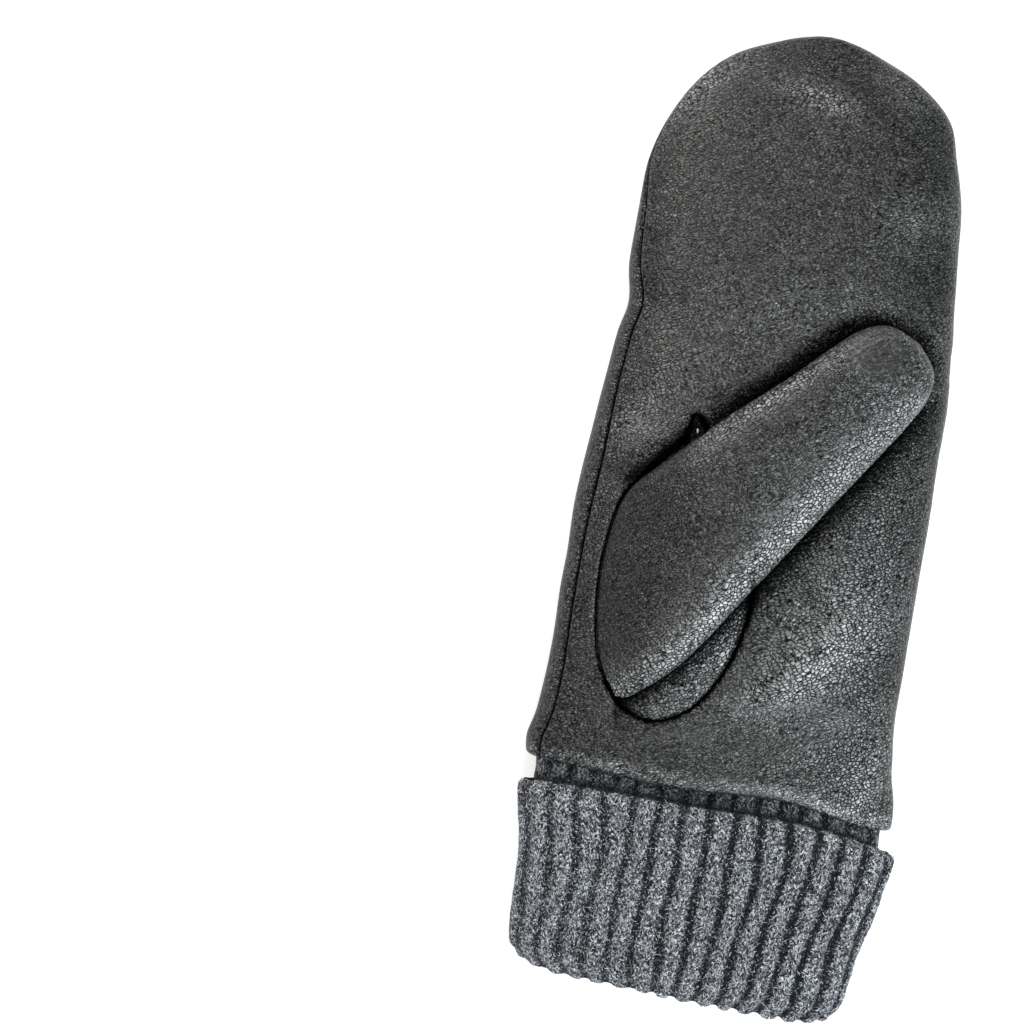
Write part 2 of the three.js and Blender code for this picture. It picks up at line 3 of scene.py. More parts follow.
import bpy
import numpy as np
from bpy.props import FloatProperty, FloatVectorProperty, IntProperty, PointerProperty
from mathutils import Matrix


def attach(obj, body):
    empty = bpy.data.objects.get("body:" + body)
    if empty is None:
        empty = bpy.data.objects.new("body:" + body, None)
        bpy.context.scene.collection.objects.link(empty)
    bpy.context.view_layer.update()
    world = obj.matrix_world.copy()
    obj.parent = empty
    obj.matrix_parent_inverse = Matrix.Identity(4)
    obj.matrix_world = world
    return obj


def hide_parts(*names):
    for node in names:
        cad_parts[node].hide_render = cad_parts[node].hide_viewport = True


bl_info = {
    "name": "Leather Mitten",
    "version": (1, 0, 0),
    "blender": (4, 5, 0),
    "location": "3D View > Sidebar > Mitten",
    "description": "Dresses the packed mitten in pebbled leather and ribbed knit, and lays it on a studio table",
    "category": "Object",
}

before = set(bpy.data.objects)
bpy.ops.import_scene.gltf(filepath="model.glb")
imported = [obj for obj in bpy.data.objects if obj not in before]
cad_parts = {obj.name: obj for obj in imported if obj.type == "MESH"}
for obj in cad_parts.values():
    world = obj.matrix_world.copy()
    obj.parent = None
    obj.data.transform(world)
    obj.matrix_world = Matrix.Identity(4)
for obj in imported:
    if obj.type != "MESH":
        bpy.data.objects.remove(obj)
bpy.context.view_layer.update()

# Every length below is in millimetres, and becomes metres when a mesh is made. +X points to the little finger,
# +Y to the fingertips and +Z up, out of the palm.
MM = 0.001

# Walls, gaps, how far the leather sinks into a seam and is pressed flat on the table, and the ovals' squareness
LEATHER = 1.8
HEM_WALL = 2.6
HEM_TURN = 12.0
KNIT = 2.2
FOLD_GAP = 0.5
SEAM_GAP = 0.3
REST_GAP = 0.7
SEAM_SINK, SEAM_WIDTH = 0.9, 1.5
PRESS = 0.7
SQUARENESS = 2.6
LEAN = math.radians(36.5)  # of the thumb, from +Y to the right
LEAN_SINE, LEAN_COSINE = math.sin(LEAN), math.cos(LEAN)

# Hand, from the hem to the fingertip: y, left, right, crown, edge, base, and the two seams' angles in degrees
HAND = np.array([
    (-83.8, -56.6, 55.4, 20.4, 9.4, 0.0, 24, 22),
    (-77.0, -57.2, 55.0, 21.4, 9.5, 0.0, 25, 22),
    (-67.0, -55.4, 52.2, 22.4, 9.6, 0.0, 26, 22),
    (-54.0, -54.5, 51.3, 23.0, 9.7, 0.0, 26, 22),
    (-34.0, -54.5, 51.2, 23.4, 9.8, 0.0, 25, 22),
    (-10.0, -54.6, 51.2, 23.8, 9.8, 0.0, 26, 22),
    (12.0, -53.8, 51.1, 24.0, 9.8, 0.0, 28, 22),
    (32.0, -52.0, 51.2, 23.8, 9.7, 0.0, 25, 22),
    (48.0, -50.4, 50.6, 23.2, 9.5, 0.0, 25, 22),
    (58.0, -48.6, 49.6, 22.8, 9.3, 0.0, 25, 22),
    (70.0, -50.4, 48.4, 22.2, 9.0, 0.0, 21, 21),
    (86.0, -50.4, 46.9, 20.9, 8.6, 0.0, 17, 19),
    (101.0, -49.8, 45.6, 19.2, 8.2, 0.2, 9, 14),
    (115.0, -45.8, 41.8, 17.2, 7.8, 0.5, 3, 8),
    (127.0, -39.2, 37.8, 15.0, 7.4, 1.1, 0, 3),
    (136.6, -29.4, 27.0, 12.6, 7.1, 2.3, 0, 0),
    (143.0, -15.6, 12.8, 10.2, 6.9, 4.1, 0, 0),
    (145.6, -7.0, 4.2, 8.4, 6.9, 5.5, 0, 0),
    (146.3, -1.6, -1.6, 6.9, 6.9, 6.9, 0, 0),
], float)
HAND_Y, LEFT, RIGHT, CROWN, EDGE, BASE, PALM_SEAM, BACK_SEAM = range(8)
LAST_ROW = len(HAND) - 1
TIP_FROM = 14  # row from which the outline turns in to the fingertip
TIP_WAY = 60.0  # rough length of the outline from there
TIP_INSET = 1.4  # walls by which the inside stops short of the fingertip

# How the hem waves: its level, a wave's height, lowest place and length, its fall at the right and rise at the left
HEM_LEVEL, HEM_WAVE, HEM_LOWEST, HEM_LENGTH, HEM_FALL, HEM_RISE = 0.9, 0.75, -12.0, 62.0, 3.1, 2.1

# Thumb, from the bottom of its hole to its tip: along, upper, lower, upper lift, lower lift, bulge, steepness
THUMB = np.array([
    (-67.4, 8.6, 8.6, 0.5, 0.5, 0.0, 0.9),
    (-65.2, 2.0, 11.0, 0.4, 1.0, 1.0, 0.9),
    (-60.0, -6.6, 12.6, 0.3, 2.2, 3.4, 0.9),
    (-50.0, -16.6, 14.5, 0.3, 3.6, 6.0, 0.9),
    (-37.0, -26.1, 14.8, 0.3, 4.4, 7.4, 0.85),
    (-22.0, -32.6, 13.9, 1.2, 4.6, 7.8, 0.7),
    (-5.0, -30.8, 13.2, 4.0, 4.6, 7.6, 0.45),
    (14.0, -28.2, 12.3, 4.6, 4.6, 7.4, 0.42),
    (34.0, -24.0, 11.5, 4.6, 4.6, 7.0, 0.42),
    (50.0, -21.5, 10.8, 4.6, 4.6, 6.4, 0.42),
    (60.0, -19.1, 9.4, 4.6, 4.6, 5.4, 0.42),
    (67.0, -14.0, 5.0, 4.6, 4.6, 3.4, 0.45),
    (69.8, -4.0, -4.0, 4.6, 4.6, 0.0, 0.5),
])
LOWER_STEEPNESS = 0.42
THUMB_DEPTH = 6.5  # of its underside
THUMB_DENT = 1.4  # that it presses into the palm

# Thumb hole seen from above, and what fills it
HOLE = np.array([
    (-40.2, 1.0), (-43.5, -14.0), (-43.2, -34.0), (-39.2, -51.5), (-31.6, -61.6),
    (-21.5, -65.0), (-11.5, -60.2), (-3.2, -48.0), (1.4, -29.0), (-1.0, -10.0),
    (-8.6, 7.0), (-18.4, 22.0), (-23.8, 27.2), (-25.6, 19.8), (-33.0, 10.0),
])
HOLE_CENTRE = np.array((-22.0, -19.0))
RIM_POINTS = 360
BASE_SWELL = 2.4
BASE_DIP = (3.0, 3.5, 12.0)  # how far the thumb hangs into the hole, and between which distances inside its rim
RIM_DIP, RIM_DIP_WIDTH = 0.75, 0.8
# The slit is sunk into the base, and painted shade darkens it on the palm and on the base
SLIT = ((-40.0, 5.0), (-24.5, 21.0))  # between the palm's edge and the thumb, below the tuck at the hole's top
SLIT_DEPTH, SLIT_WIDTH = 1.6, 2.2
TUCK = ((-31.0, 14.0), (-25.5, 20.5))  # middle line of the shade at the tuck

# Widths of the dark lines at a seam and round the hole, and the painted shade of a panel where it stands on edge
SEAM_SHADE, RIM_SHADE, STEEP_SHADE = 0.45, 0.36, 0.5

# Soft hills and hollows of the palm: x, y, half length, half width, direction in degrees from +X, height
PALM_FORMS = (
    (30.0, -31.0, 21.0, 5.5, 42, 0.9),
    (36.0, -44.0, 20.0, 6.0, 40, -0.6),
    (10.0, -50.0, 16.0, 5.0, 28, 0.5),
    (39.0, -66.0, 15.0, 5.0, 8, 0.7),
    (-36.0, 14.5, 9.0, 3.6, 38, 1.2),
    (-33.0, 23.5, 10.0, 3.2, 36, -0.7),
    (-43.0, 4.0, 6.0, 3.0, 40, -0.5),
    (-34.0, 35.0, 17.0, 9.0, 50, 0.8),
    (-31.0, 115.0, 15.0, 5.5, 35, 0.8),
    (-3.0, 126.0, 15.0, 4.8, -12, 0.7),
    (-24.0, 108.0, 18.0, 6.0, 8, -0.5),
    (14.0, 130.0, 12.0, 5.0, -35, -0.5),
    (34.0, 96.0, 16.0, 5.0, 70, 0.5),
    (42.0, 60.0, 14.0, 4.0, 20, 0.5),
    (43.0, 49.5, 9.0, 1.6, 9, -0.45),
    (-38.0, 72.0, 14.0, 6.0, 80, 0.5),
    (-46.0, -30.0, 24.0, 2.6, 88, 0.35),
)
BACK_FORMS = (
    (-20.0, 70.0, 30.0, 12.0, 70, 0.6),
    (18.0, 20.0, 34.0, 10.0, 60, 0.6),
    (-16.0, -40.0, 28.0, 9.0, 30, 0.6),
)
THUMB_FORMS = (
    (-30.0, -50.0, 11.0, 5.0, 60, 0.5),
    (-22.0, -22.0, 22.0, 7.0, 50, -0.35),
    (12.0, 22.0, 26.0, 6.0, 52, -0.3),
    (34.0, 50.0, 7.0, 5.0, 20, 0.35),
)

# Where the palm's pebbles get a painted sheen (the heel's and fingertip's rows also make their pebbles coarser): x,
# y, half length, half width, direction in degrees, strength
PALM_SHEEN = (
    (27.0, -36.0, 24.0, 9.0, 48, 0.82),
    (10.0, -54.0, 16.0, 6.0, 25, 0.35),
    (47.0, -70.0, 16.0, 7.0, 80, 0.65),
    (34.0, -58.0, 16.0, 8.0, 40, 0.25),
    (-39.5, 125.0, 21.0, 6.0, 47, 0.8),
    (-1.5, 127.0, 14.0, 4.5, -12, 0.6),
    (22.0, 134.0, 14.0, 4.0, -38, 0.5),
    (-33.0, 31.0, 17.0, 10.0, 40, 0.15),
    (-39.0, 22.0, 11.0, 5.0, 30, 0.5),
    (38.0, 97.0, 14.0, 8.0, 12, 0.5),
    (42.0, 45.0, 20.0, 6.0, 84, 0.4),
    (5.0, 60.0, 36.0, 9.0, 14, 0.15),
    (25.0, -15.0, 24.0, 16.0, 45, 0.1),
)
ON_HEEL, ON_FINGERTIP = slice(0, 4), slice(4, 7)  # rows of those

# Where the palm's leather is smooth, but for a few creases
CALM = ((3.0, -64.0, 42.0, 7.5, 14, 1.0),)

# Turned-up cuff, from its fold to its upper edge: up, left, right, crown, edge, base
CUFF = np.array([
    (0.0, -50.6, 46.8, 20.6, 10.4, 1.4),
    (0.1, -52.2, 48.9, 22.2, 10.6, 0.4),
    (0.38, -53.0, 51.0, 22.8, 10.8, 0.2),
    (0.66, -53.9, 54.4, 23.4, 10.9, 0.2),
    (0.9, -56.5, 56.6, 23.8, 11.0, 0.3),
    (1.0, -57.2, 57.0, 23.4, 11.0, 0.8),
])
FOLD_Y, FOLD_RISE, FOLD_ROUNDNESS, FOLD_SLOPE = -144.3, 2.2, 8, -0.8
UPPER_Y, UPPER_DROP, UPPER_ROUNDNESS = -88.0, 5.2, 4
TUBE = ((-89.0, -52.6, 51.6, 18.0, 9.8, 3.6), (-100.0, -51.4, 51.4, 20.0, 10.6, 3.0))
SEWN_IN = (-64.0, -76.0, -84.0)
SEWN_SLACK = 1.1
TURN_IN = KNIT + FOLD_GAP
POINTS_PER_RIB = 16

# Stitches in a rib and the width of their rows, how steeply their hairs climb, and a bundle's length and width
STITCHES_PER_RIB, ROW_WIDTH = 4, 2.0
YARN_SLANT = math.radians(52)
BUNDLE = (0.8, 0.34)
CREASE = 0.46  # share of a leather pebble that slopes down to the crease round it

# Tuck thread: where it starts, how far it runs, how high it arches, half its thickness, and the way of its side
THREAD_START, THREAD_RUN = (-22.3, 21.4), (-0.25, 1.5)
THREAD_ARCH, THREAD_RADIUS, THREAD_SIDE = 0.55, 0.26, (0.99, 0.16, 0.0)

# Fineness of the meshes: millimetres along a panel and its columns, the thumb's rows from its lower end to its tip
# and its columns, rings of its base in the hole's middle and near its rim, and the thread's corners and rows
PALM_MESH, BACK_MESH = (0.95, 150), (1.3, 120)
THUMB_ROWS, THUMB_COLUMNS, BASE_RINGS = (10, 99, 26), 81, (22, 16)
THREAD_MESH = (12, 25)

# Uneven waves in the leather: height and length of each, and the seed of the first in each panel
PANEL_WAVES, THUMB_WAVES = ((0.12, 34), (0.05, 13)), ((0.1, 21), (0.04, 9))
PALM_SEED, BACK_SEED, THUMB_SEED = 3, 11, 5

# Layers of loose hairs: name, seed, darkest and palest shade. Then a hair's points: an end, two rings and an end.
HAIR_LAYERS = (("pale_wool_hairs", 21, 0.35, 1.0), ("dark_wool_hairs", 22, 0.0, 0.35))
HAIR_POINTS = 8

# Soft lamps: name, place and size in metres, share of the strongest lamp's power, colour
LAMPS = (
    ("lamp_right", (0.66, -0.38, 0.78), 0.45, 1.0, (0.90, 0.96, 1.0)),
    ("lamp_left", (-0.62, 0.42, 0.80), 0.45, 0.6, (1.0, 0.985, 0.95)),
    ("lamp_wrist", (0.10, -0.74, 0.78), 0.6, 0.32, (0.95, 0.98, 1.0)),
    ("lamp_fingers", (-0.16, 0.74, 0.80), 0.6, 0.36, (1.0, 0.99, 0.96)),
)

# Camera, in metres: what it looks at, how wide it sees there, its turn, and the width of its sensor in millimetres
VIEW_CENTRE, VIEW_WIDTH, VIEW_TURN, SENSOR = (-0.0726, -0.0106, 0.010), 0.3072, math.radians(9.6), 36.0
TABLE_HALF, TABLE_DROP = 3.0, 0.0003


# Shapes worked out from the tables


def smoothstep(value, low, high):
    """Nought below low, one above high, and a smooth S-curve between them"""
    share = np.clip((value - low) / (high - low), 0, 1)
    return share * share * (3 - 2 * share)


def between(table, place):
    """Rows at places between a table's rows, on the cubic curve that passes through all rows"""
    place = np.asarray(place, float)
    last = len(table) - 1
    row = np.clip(np.floor(place), 0, last - 1).astype(int)
    part = (place - row)[..., None]
    before, start, end, after = (table[np.clip(row + step, 0, last)] for step in (-1, 0, 1, 2))
    bend = 2 * before - 5 * start + 4 * end - after
    twist = 3 * (start - end) + after - before
    return start + 0.5 * part * (end - before + part * (bend + part * twist))


def place_of(table, column, value):
    """Place between the rows at which a rising column has a value, read off a fine list of places"""
    places = np.linspace(0, len(table) - 1, 6001)
    return np.interp(value, between(table, places)[:, column], places)


def signed_power(value, exponent):
    return np.sign(value) * np.abs(value) ** exponent


def bell(distance, width):
    """Bell curve of a distance: one at nought, and e to the minus one at a width"""
    return np.exp(-((distance / width) ** 2))


def less_wall(half, wall):
    """Half a size less a wall, never turned inside out"""
    return half - wall * np.minimum(1, half / (3 * np.maximum(wall, 0.01)))


def leant(x, y):
    """Along and across the thumb from x and y. The same sums lead back from there to x and y."""
    return x * LEAN_SINE + y * LEAN_COSINE, x * LEAN_COSINE - y * LEAN_SINE


def dent_at(x, y):
    """Depth of the palm's dent under the thumb: a flat-bottomed trough along the thumb's direction"""
    along, side = leant(x, y)
    lengthwise = smoothstep(along, -30, 2) * smoothstep(-along, -74, -58)
    crosswise = smoothstep(side, -32, -16) * smoothstep(-side, -17, -1)
    return THUMB_DENT * lengthwise * crosswise


def palm_height(x, y):
    """Height of the palm: half of a flattened oval between the two edges, less the dent"""
    row = between(HAND, place_of(HAND, HAND_Y, y))
    left, right, crown, edge = (row[..., column] for column in (LEFT, RIGHT, CROWN, EDGE))
    across = np.clip(np.abs((2 * x - left - right) / np.maximum(right - left, 1e-6)), 0, 1)
    return edge + (crown - edge) * np.sqrt(1 - across**SQUARENESS) - dent_at(x, y)


def hem_shift(x, row):
    """How far the hem waves up and down: a cosine across it, a rise at the thumb's corner and a fall at the other"""
    y, left, right = row[..., HAND_Y], row[..., LEFT], row[..., RIGHT]
    across = np.clip((2 * x - left - right) / np.maximum(right - left, 1e-6), -1, 1)
    wave = HEM_WAVE * np.cos(2 * np.pi * (x - HEM_LOWEST) / HEM_LENGTH) * (1 - across**4)
    corner = np.where(across < 0, HEM_RISE * across**8, 0)
    shift = HEM_LEVEL - wave - HEM_FALL * smoothstep(x, 20, 52) + corner
    return shift * (1 - smoothstep(y - HAND[0, HAND_Y], 0, 18))


def hand_points(place, angle, depth):
    """Points at angles round the hand's flattened oval, at a depth in its wall, pressed flat on its back"""
    place, angle, depth = np.broadcast_arrays(place, angle, depth)
    row = between(HAND, place)
    left, right, crown, edge, base = (row[..., column] for column in (LEFT, RIGHT, CROWN, EDGE, BASE))
    cosine, sine = np.cos(angle), np.sin(angle)
    x = (left + right) / 2 + less_wall((right - left) / 2, depth) * signed_power(cosine, 2 / SQUARENESS)
    y = row[..., HAND_Y] - depth * TIP_INSET * smoothstep(place, LAST_ROW - 5, LAST_ROW) + hem_shift(x, row)
    rise = edge + less_wall(crown - edge, depth) * sine - dent_at(x, y) * sine
    drop = less_wall(edge - base, depth) + PRESS * np.maximum(1 - base, 0)
    return np.stack([x, y, np.where(sine >= 0, rise, np.maximum(edge + drop * sine, depth))], -1)


def leather_wall(place):
    """Wall at row places: thicker where the hem is turned in"""
    up = between(HAND, place)[..., HAND_Y] - HAND[0, HAND_Y]
    return HEM_WALL + (LEATHER - HEM_WALL) * smoothstep(up, HEM_TURN / 2, HEM_TURN)


def hand_places(step):
    """Row places from the hem to the fingertip, a step apart along it, and closer round the hem's lip"""
    lip = HAND[0, HAND_Y] + HEM_WALL / 2 * np.array([0, 0.03, 0.12, 0.3, 0.6, 1])
    body = np.arange(lip[-1] + step, HAND[TIP_FROM, HAND_Y], step)
    tip = np.linspace(TIP_FROM, LAST_ROW, round(TIP_WAY / step))
    return np.concatenate([place_of(HAND, HAND_Y, np.concatenate([lip, body])), tip])


def even_angles(low, high, shares):
    """Angles between two, spaced by length round a middle section of the hand instead of by degrees"""
    angles = np.linspace(-np.pi / 2, 2.5 * np.pi, 12001)
    outline = hand_points(np.full_like(angles, 6.0), angles, 0.0)[:, (0, 2)]
    length = np.concatenate([[0], np.cumsum(np.hypot(*np.diff(outline, axis=0).T))])
    start, end = (np.interp(limit, angles, length)[:, None] for limit in (low, high))
    reached = start + SEAM_GAP / 2 + (end - start - SEAM_GAP) * shares
    return np.interp(reached, length, angles), np.minimum(reached - start, end - reached)


def soft_forms(points, forms):
    """Sum of soft hills, each a bell curve stretched along its own direction"""
    total = np.zeros(points.shape[:-1])
    for x, y, half_length, half_width, direction, height in forms:
        turn = math.radians(direction)
        dx, dy = points[..., 0] - x, points[..., 1] - y
        along = (dx * math.cos(turn) + dy * math.sin(turn)) / half_length
        side = (dy * math.cos(turn) - dx * math.sin(turn)) / half_width
        total += height * np.exp(-(along**2) - side**2)
    return total


def waviness(points, length, seed):
    """Gentle uneven waves, the mean of several sines in seeded directions about one length apart"""
    random = np.random.default_rng(seed)
    total = np.zeros(points.shape[:-1])
    for _ in range(9):
        direction = random.normal(size=3)
        direction *= random.uniform(0.7, 1.6) * 2 * np.pi / (length * np.linalg.norm(direction))
        total += np.sin(points @ direction + random.uniform(0, 2 * np.pi))
    return total / 3


def swelling(points, forms, waves, seed):
    """Soft hills, and uneven waves on them"""
    total = soft_forms(points, forms)
    for number, (height, length) in enumerate(waves):
        total = total + height * waviness(points, length, seed + number)
    return total


def cut_hole(outside, inside):
    """Cuts the thumb hole: faces inside its outline go, the points beside them move onto it, and its rim dips

    Returns the faces that are kept, each point's distance from the outline, and the way round it to there.
    """
    x, y = outside[..., 0], outside[..., 1]
    inset, nearest, run = outline_distance(RIM, x, y)
    corners = grid_quads(*x.shape)
    middle = outside.reshape(-1, 3)[corners].mean(2)
    kept = outline_distance(RIM, middle[..., 0], middle[..., 1])[0] < 0
    beside_kept, beside_cut = np.zeros(x.size, bool), np.zeros(x.size, bool)
    beside_kept[corners[kept].ravel()] = True
    beside_cut[corners[~kept].ravel()] = True
    border = (beside_kept & beside_cut).reshape(x.shape)
    outside[border, :2] = inside[border, :2] = nearest[border]
    outside[border, 2] = palm_height(*nearest[border].T)
    inside[border, 2] = outside[border, 2] - LEATHER
    to_rim = np.where(border, 0, np.abs(inset))
    outside[..., 2] -= RIM_DIP * bell(to_rim, RIM_DIP_WIDTH)
    return kept, to_rim, run


def grid_normals(points, wraps=False):
    """Unit normals of a grid, from the cross product of its two directions of travel"""
    if wraps:
        across = np.roll(points, -1, 1) - np.roll(points, 1, 1)
    else:
        across = np.gradient(points, axis=1)
    normal = np.cross(np.gradient(points, axis=0), across)
    return normal / np.maximum(np.linalg.norm(normal, axis=-1, keepdims=True), 1e-9)


def steep_sides(points):
    """One where a panel stands on edge, nought where it lies flat"""
    return smoothstep(1 - np.abs(grid_normals(points)[..., 2]), 0.25, 0.9)


def hole_outline():
    """Closed curve through the hole's points, evenly spaced, with the square root of each span as its pace"""
    spans = np.linalg.norm(np.roll(HOLE, -1, 0) - HOLE, axis=1) ** 0.5
    knots = np.concatenate([[0], np.cumsum(spans)])
    around = len(HOLE)
    wrapped = np.arange(-3, around + 4)
    times = knots[wrapped % around] + knots[-1] * (wrapped // around)
    at = np.linspace(0, knots[-1], 6000, endpoint=False)
    span = np.searchsorted(times, at, side="right") - 1

    def mix(first, second, early, late):
        share = ((at - times[span + early]) / (times[span + late] - times[span + early]))[:, None]
        return first * (1 - share) + second * share

    points = [HOLE[wrapped[span + step] % around] for step in (-1, 0, 1, 2)]
    first = mix(points[0], points[1], -1, 0)
    second = mix(points[1], points[2], 0, 1)
    third = mix(points[2], points[3], 1, 2)
    curve = mix(mix(first, second, -1, 1), mix(second, third, 0, 2), 0, 1)
    closed = np.concatenate([curve, curve[:1]])
    length = np.concatenate([[0], np.cumsum(np.hypot(*np.diff(closed, axis=0).T))])
    even = np.linspace(0, length[-1], RIM_POINTS, endpoint=False)
    return np.stack([np.interp(even, length, closed[:, axis]) for axis in (0, 1)], 1), length[-1]


def thumb_edge():
    """Closed outline of the folded thumb: up its upper edge to the tip, and back down its lower edge"""
    row = between(THUMB, np.linspace(0, len(THUMB) - 1, 121))
    along = np.concatenate([row[:, 0], row[-2:0:-1, 0]])
    side = np.concatenate([row[:, 1], row[-2:0:-1, 2]])
    return np.stack(leant(along, side), 1)


RIM, RIM_LENGTH = hole_outline()
THUMB_EDGE = thumb_edge()


def outline_distance(outline, x, y):
    """Distance inside a closed outline (negative outside), its nearest point, and the way round it to there"""
    points = np.stack([x, y], -1).reshape(-1, 2)
    steps = np.roll(outline, -1, 0) - outline
    lengths = np.hypot(*steps.T)
    walked = np.cumsum(lengths) - lengths
    distance = np.full(len(points), 1e9)
    nearest, run = np.zeros_like(points), np.zeros(len(points))
    within = np.zeros(len(points), bool)
    for start, step, length, way in zip(outline, steps, lengths, walked):
        share = np.clip((points - start) @ step / length**2, 0, 1)
        on_side = start + share[:, None] * step
        away = np.hypot(*(points - on_side).T)
        closer = away < distance
        distance[closer], nearest[closer] = away[closer], on_side[closer]
        run[closer] = way + share[closer] * length
        if step[1]:
            level = (start[1] > points[:, 1]) != (start[1] + step[1] > points[:, 1])
            within ^= level & (points[:, 0] < start[0] + step[0] * (points[:, 1] - start[1]) / step[1])
    signed = np.where(within, distance, -distance)
    return signed.reshape(x.shape), nearest.reshape(*x.shape, 2), run.reshape(x.shape)


def bell_along(x, y, start, end, width):
    """Bell curve of the distance from a straight line between two points"""
    step = np.subtract(end, start)
    share = np.clip(((x - start[0]) * step[0] + (y - start[1]) * step[1]) / (step @ step), 0, 1)
    away = np.hypot(x - start[0] - share * step[0], y - start[1] - share * step[1])
    return bell(away, width)



def panel_shape(low, high, fineness, forms, seed):
    """Outside and inside of one leather panel between two seam angles

    Both are the hand's oval at depths in its wall. The outside dips by a falling square into each seam and
    round the hem's lip, and swells by soft forms and waves.
    """
    step, columns = fineness
    places = hand_places(step)
    linear = np.linspace(0, 1, columns)
    shares = linear - 0.55 * np.sin(2 * np.pi * linear) / (2 * np.pi)
    angle, to_seam = even_angles(low(places), high(places), shares)
    place = np.broadcast_to(places[:, None], angle.shape)
    up = between(HAND, places)[:, None, HAND_Y] - HAND[0, HAND_Y]
    round_hem = HEM_WALL / 2
    lip = round_hem - np.sqrt(round_hem**2 - np.clip(round_hem - up, 0, round_hem) ** 2)
    sink = SEAM_SINK * np.clip(1 - to_seam / SEAM_WIDTH, 0, 1) ** 2
    sink = sink * (1 - smoothstep(place, LAST_ROW - 1.2, LAST_ROW))
    outside = hand_points(place, angle, lip + sink)
    inside = hand_points(place, angle, np.maximum(leather_wall(place) - lip, lip + 1e-6))
    inside[0] = outside[0]
    middle = math.sin((low(places)[0] + high(places)[0]) / 2)
    turned = math.copysign(SEAM_GAP / 2, middle) * smoothstep(place, LAST_ROW - 4, LAST_ROW - 1)
    outside[..., 2] += turned
    inside[..., 2] += turned
    calm = np.clip(to_seam / 6, 0, 1) * smoothstep(up, 0, 8) * (1 - smoothstep(place, LAST_ROW - 3, LAST_ROW - 1))
    swell = swelling(outside, forms, PANEL_WAVES, seed)
    normal = grid_normals(outside)
    if (normal[len(normal) // 2, columns // 2, 2] > 0) != (middle > 0):
        normal = -normal
    outside = outside + normal * (swell * calm)[..., None]
    outside[..., 2] = np.maximum(outside[..., 2], 0)
    return outside, inside, to_seam, up, place


def palm_seam(place):
    return np.pi - np.radians(between(HAND, place)[..., PALM_SEAM])


def back_seam(place):
    return -np.radians(between(HAND, place)[..., BACK_SEAM])


def thumb_shape(places, shares):
    """Closed sections of the folded thumb: over its top from the upper to the lower side, and back underneath

    The top stands on a line between its two side folds and rises by share to a power times the rest to another.
    The underside hangs below that line by a half oval, but no lower than just above the palm.
    """
    row = between(THUMB, places)[:, None, :]
    along, upper, lower, upper_lift, lower_lift, bulge, steepness = (row[..., column] for column in range(7))
    width, middle = (lower - upper) / 2, (lower + upper) / 2
    peak = steepness / (steepness + LOWER_STEEPNESS)

    def ground(side):
        x, y = leant(along, side)
        return x, y, palm_height(x, y)

    def side_height(side, lift):
        x, y, height = ground(side)
        return height + dent_at(x, y) + lift

    upper_z, lower_z = side_height(upper, upper_lift), side_height(lower, lower_lift)
    share = shares[None, :]
    x, y, palm = ground(middle - width + 2 * width * share)
    line = upper_z + (lower_z - upper_z) * share
    rise = (share / peak) ** steepness * ((1 - share) / (1 - peak)) ** LOWER_STEEPNESS
    over = np.maximum(bulge, 0) * rise
    top = np.stack([x, y, line + over], -1)
    inset, _, _ = outline_distance(RIM, x, y)
    floor = palm + REST_GAP - BASE_DIP[0] * smoothstep(inset, BASE_DIP[1], BASE_DIP[2])
    deep = -THUMB_DEPTH * np.sqrt(np.clip(4 * share * (1 - share), 0, 1)) * np.clip(bulge / 4, 0, 1)
    under = np.stack([x, y, line + np.minimum(np.maximum(deep, floor - line), over / 2)], -1)
    return top, under[:, -2:0:-1]


def superellipse(section, count):
    """Points evenly spaced round flattened ovals, one oval for each row of left, right, crown, edge, base"""
    angle = np.linspace(0, 2 * np.pi, 2881)
    left, right, crown, edge, base = section.T[:, :, None]
    reach = np.where(np.sin(angle) >= 0, crown - edge, edge - base)
    x = (left + right) / 2 + (right - left) / 2 * signed_power(np.cos(angle), 2 / SQUARENESS)
    z = edge + reach * np.sin(angle)
    length = np.concatenate([np.zeros((len(x), 1)), np.cumsum(np.hypot(np.diff(x), np.diff(z)), axis=1)], axis=1)
    even = length[:, -1:] * np.arange(count) / count
    pick = [[np.interp(e, l, value) for value in (xs, zs)] for e, l, xs, zs in zip(even, length, x, z)]
    return np.array(pick).transpose(0, 2, 1)


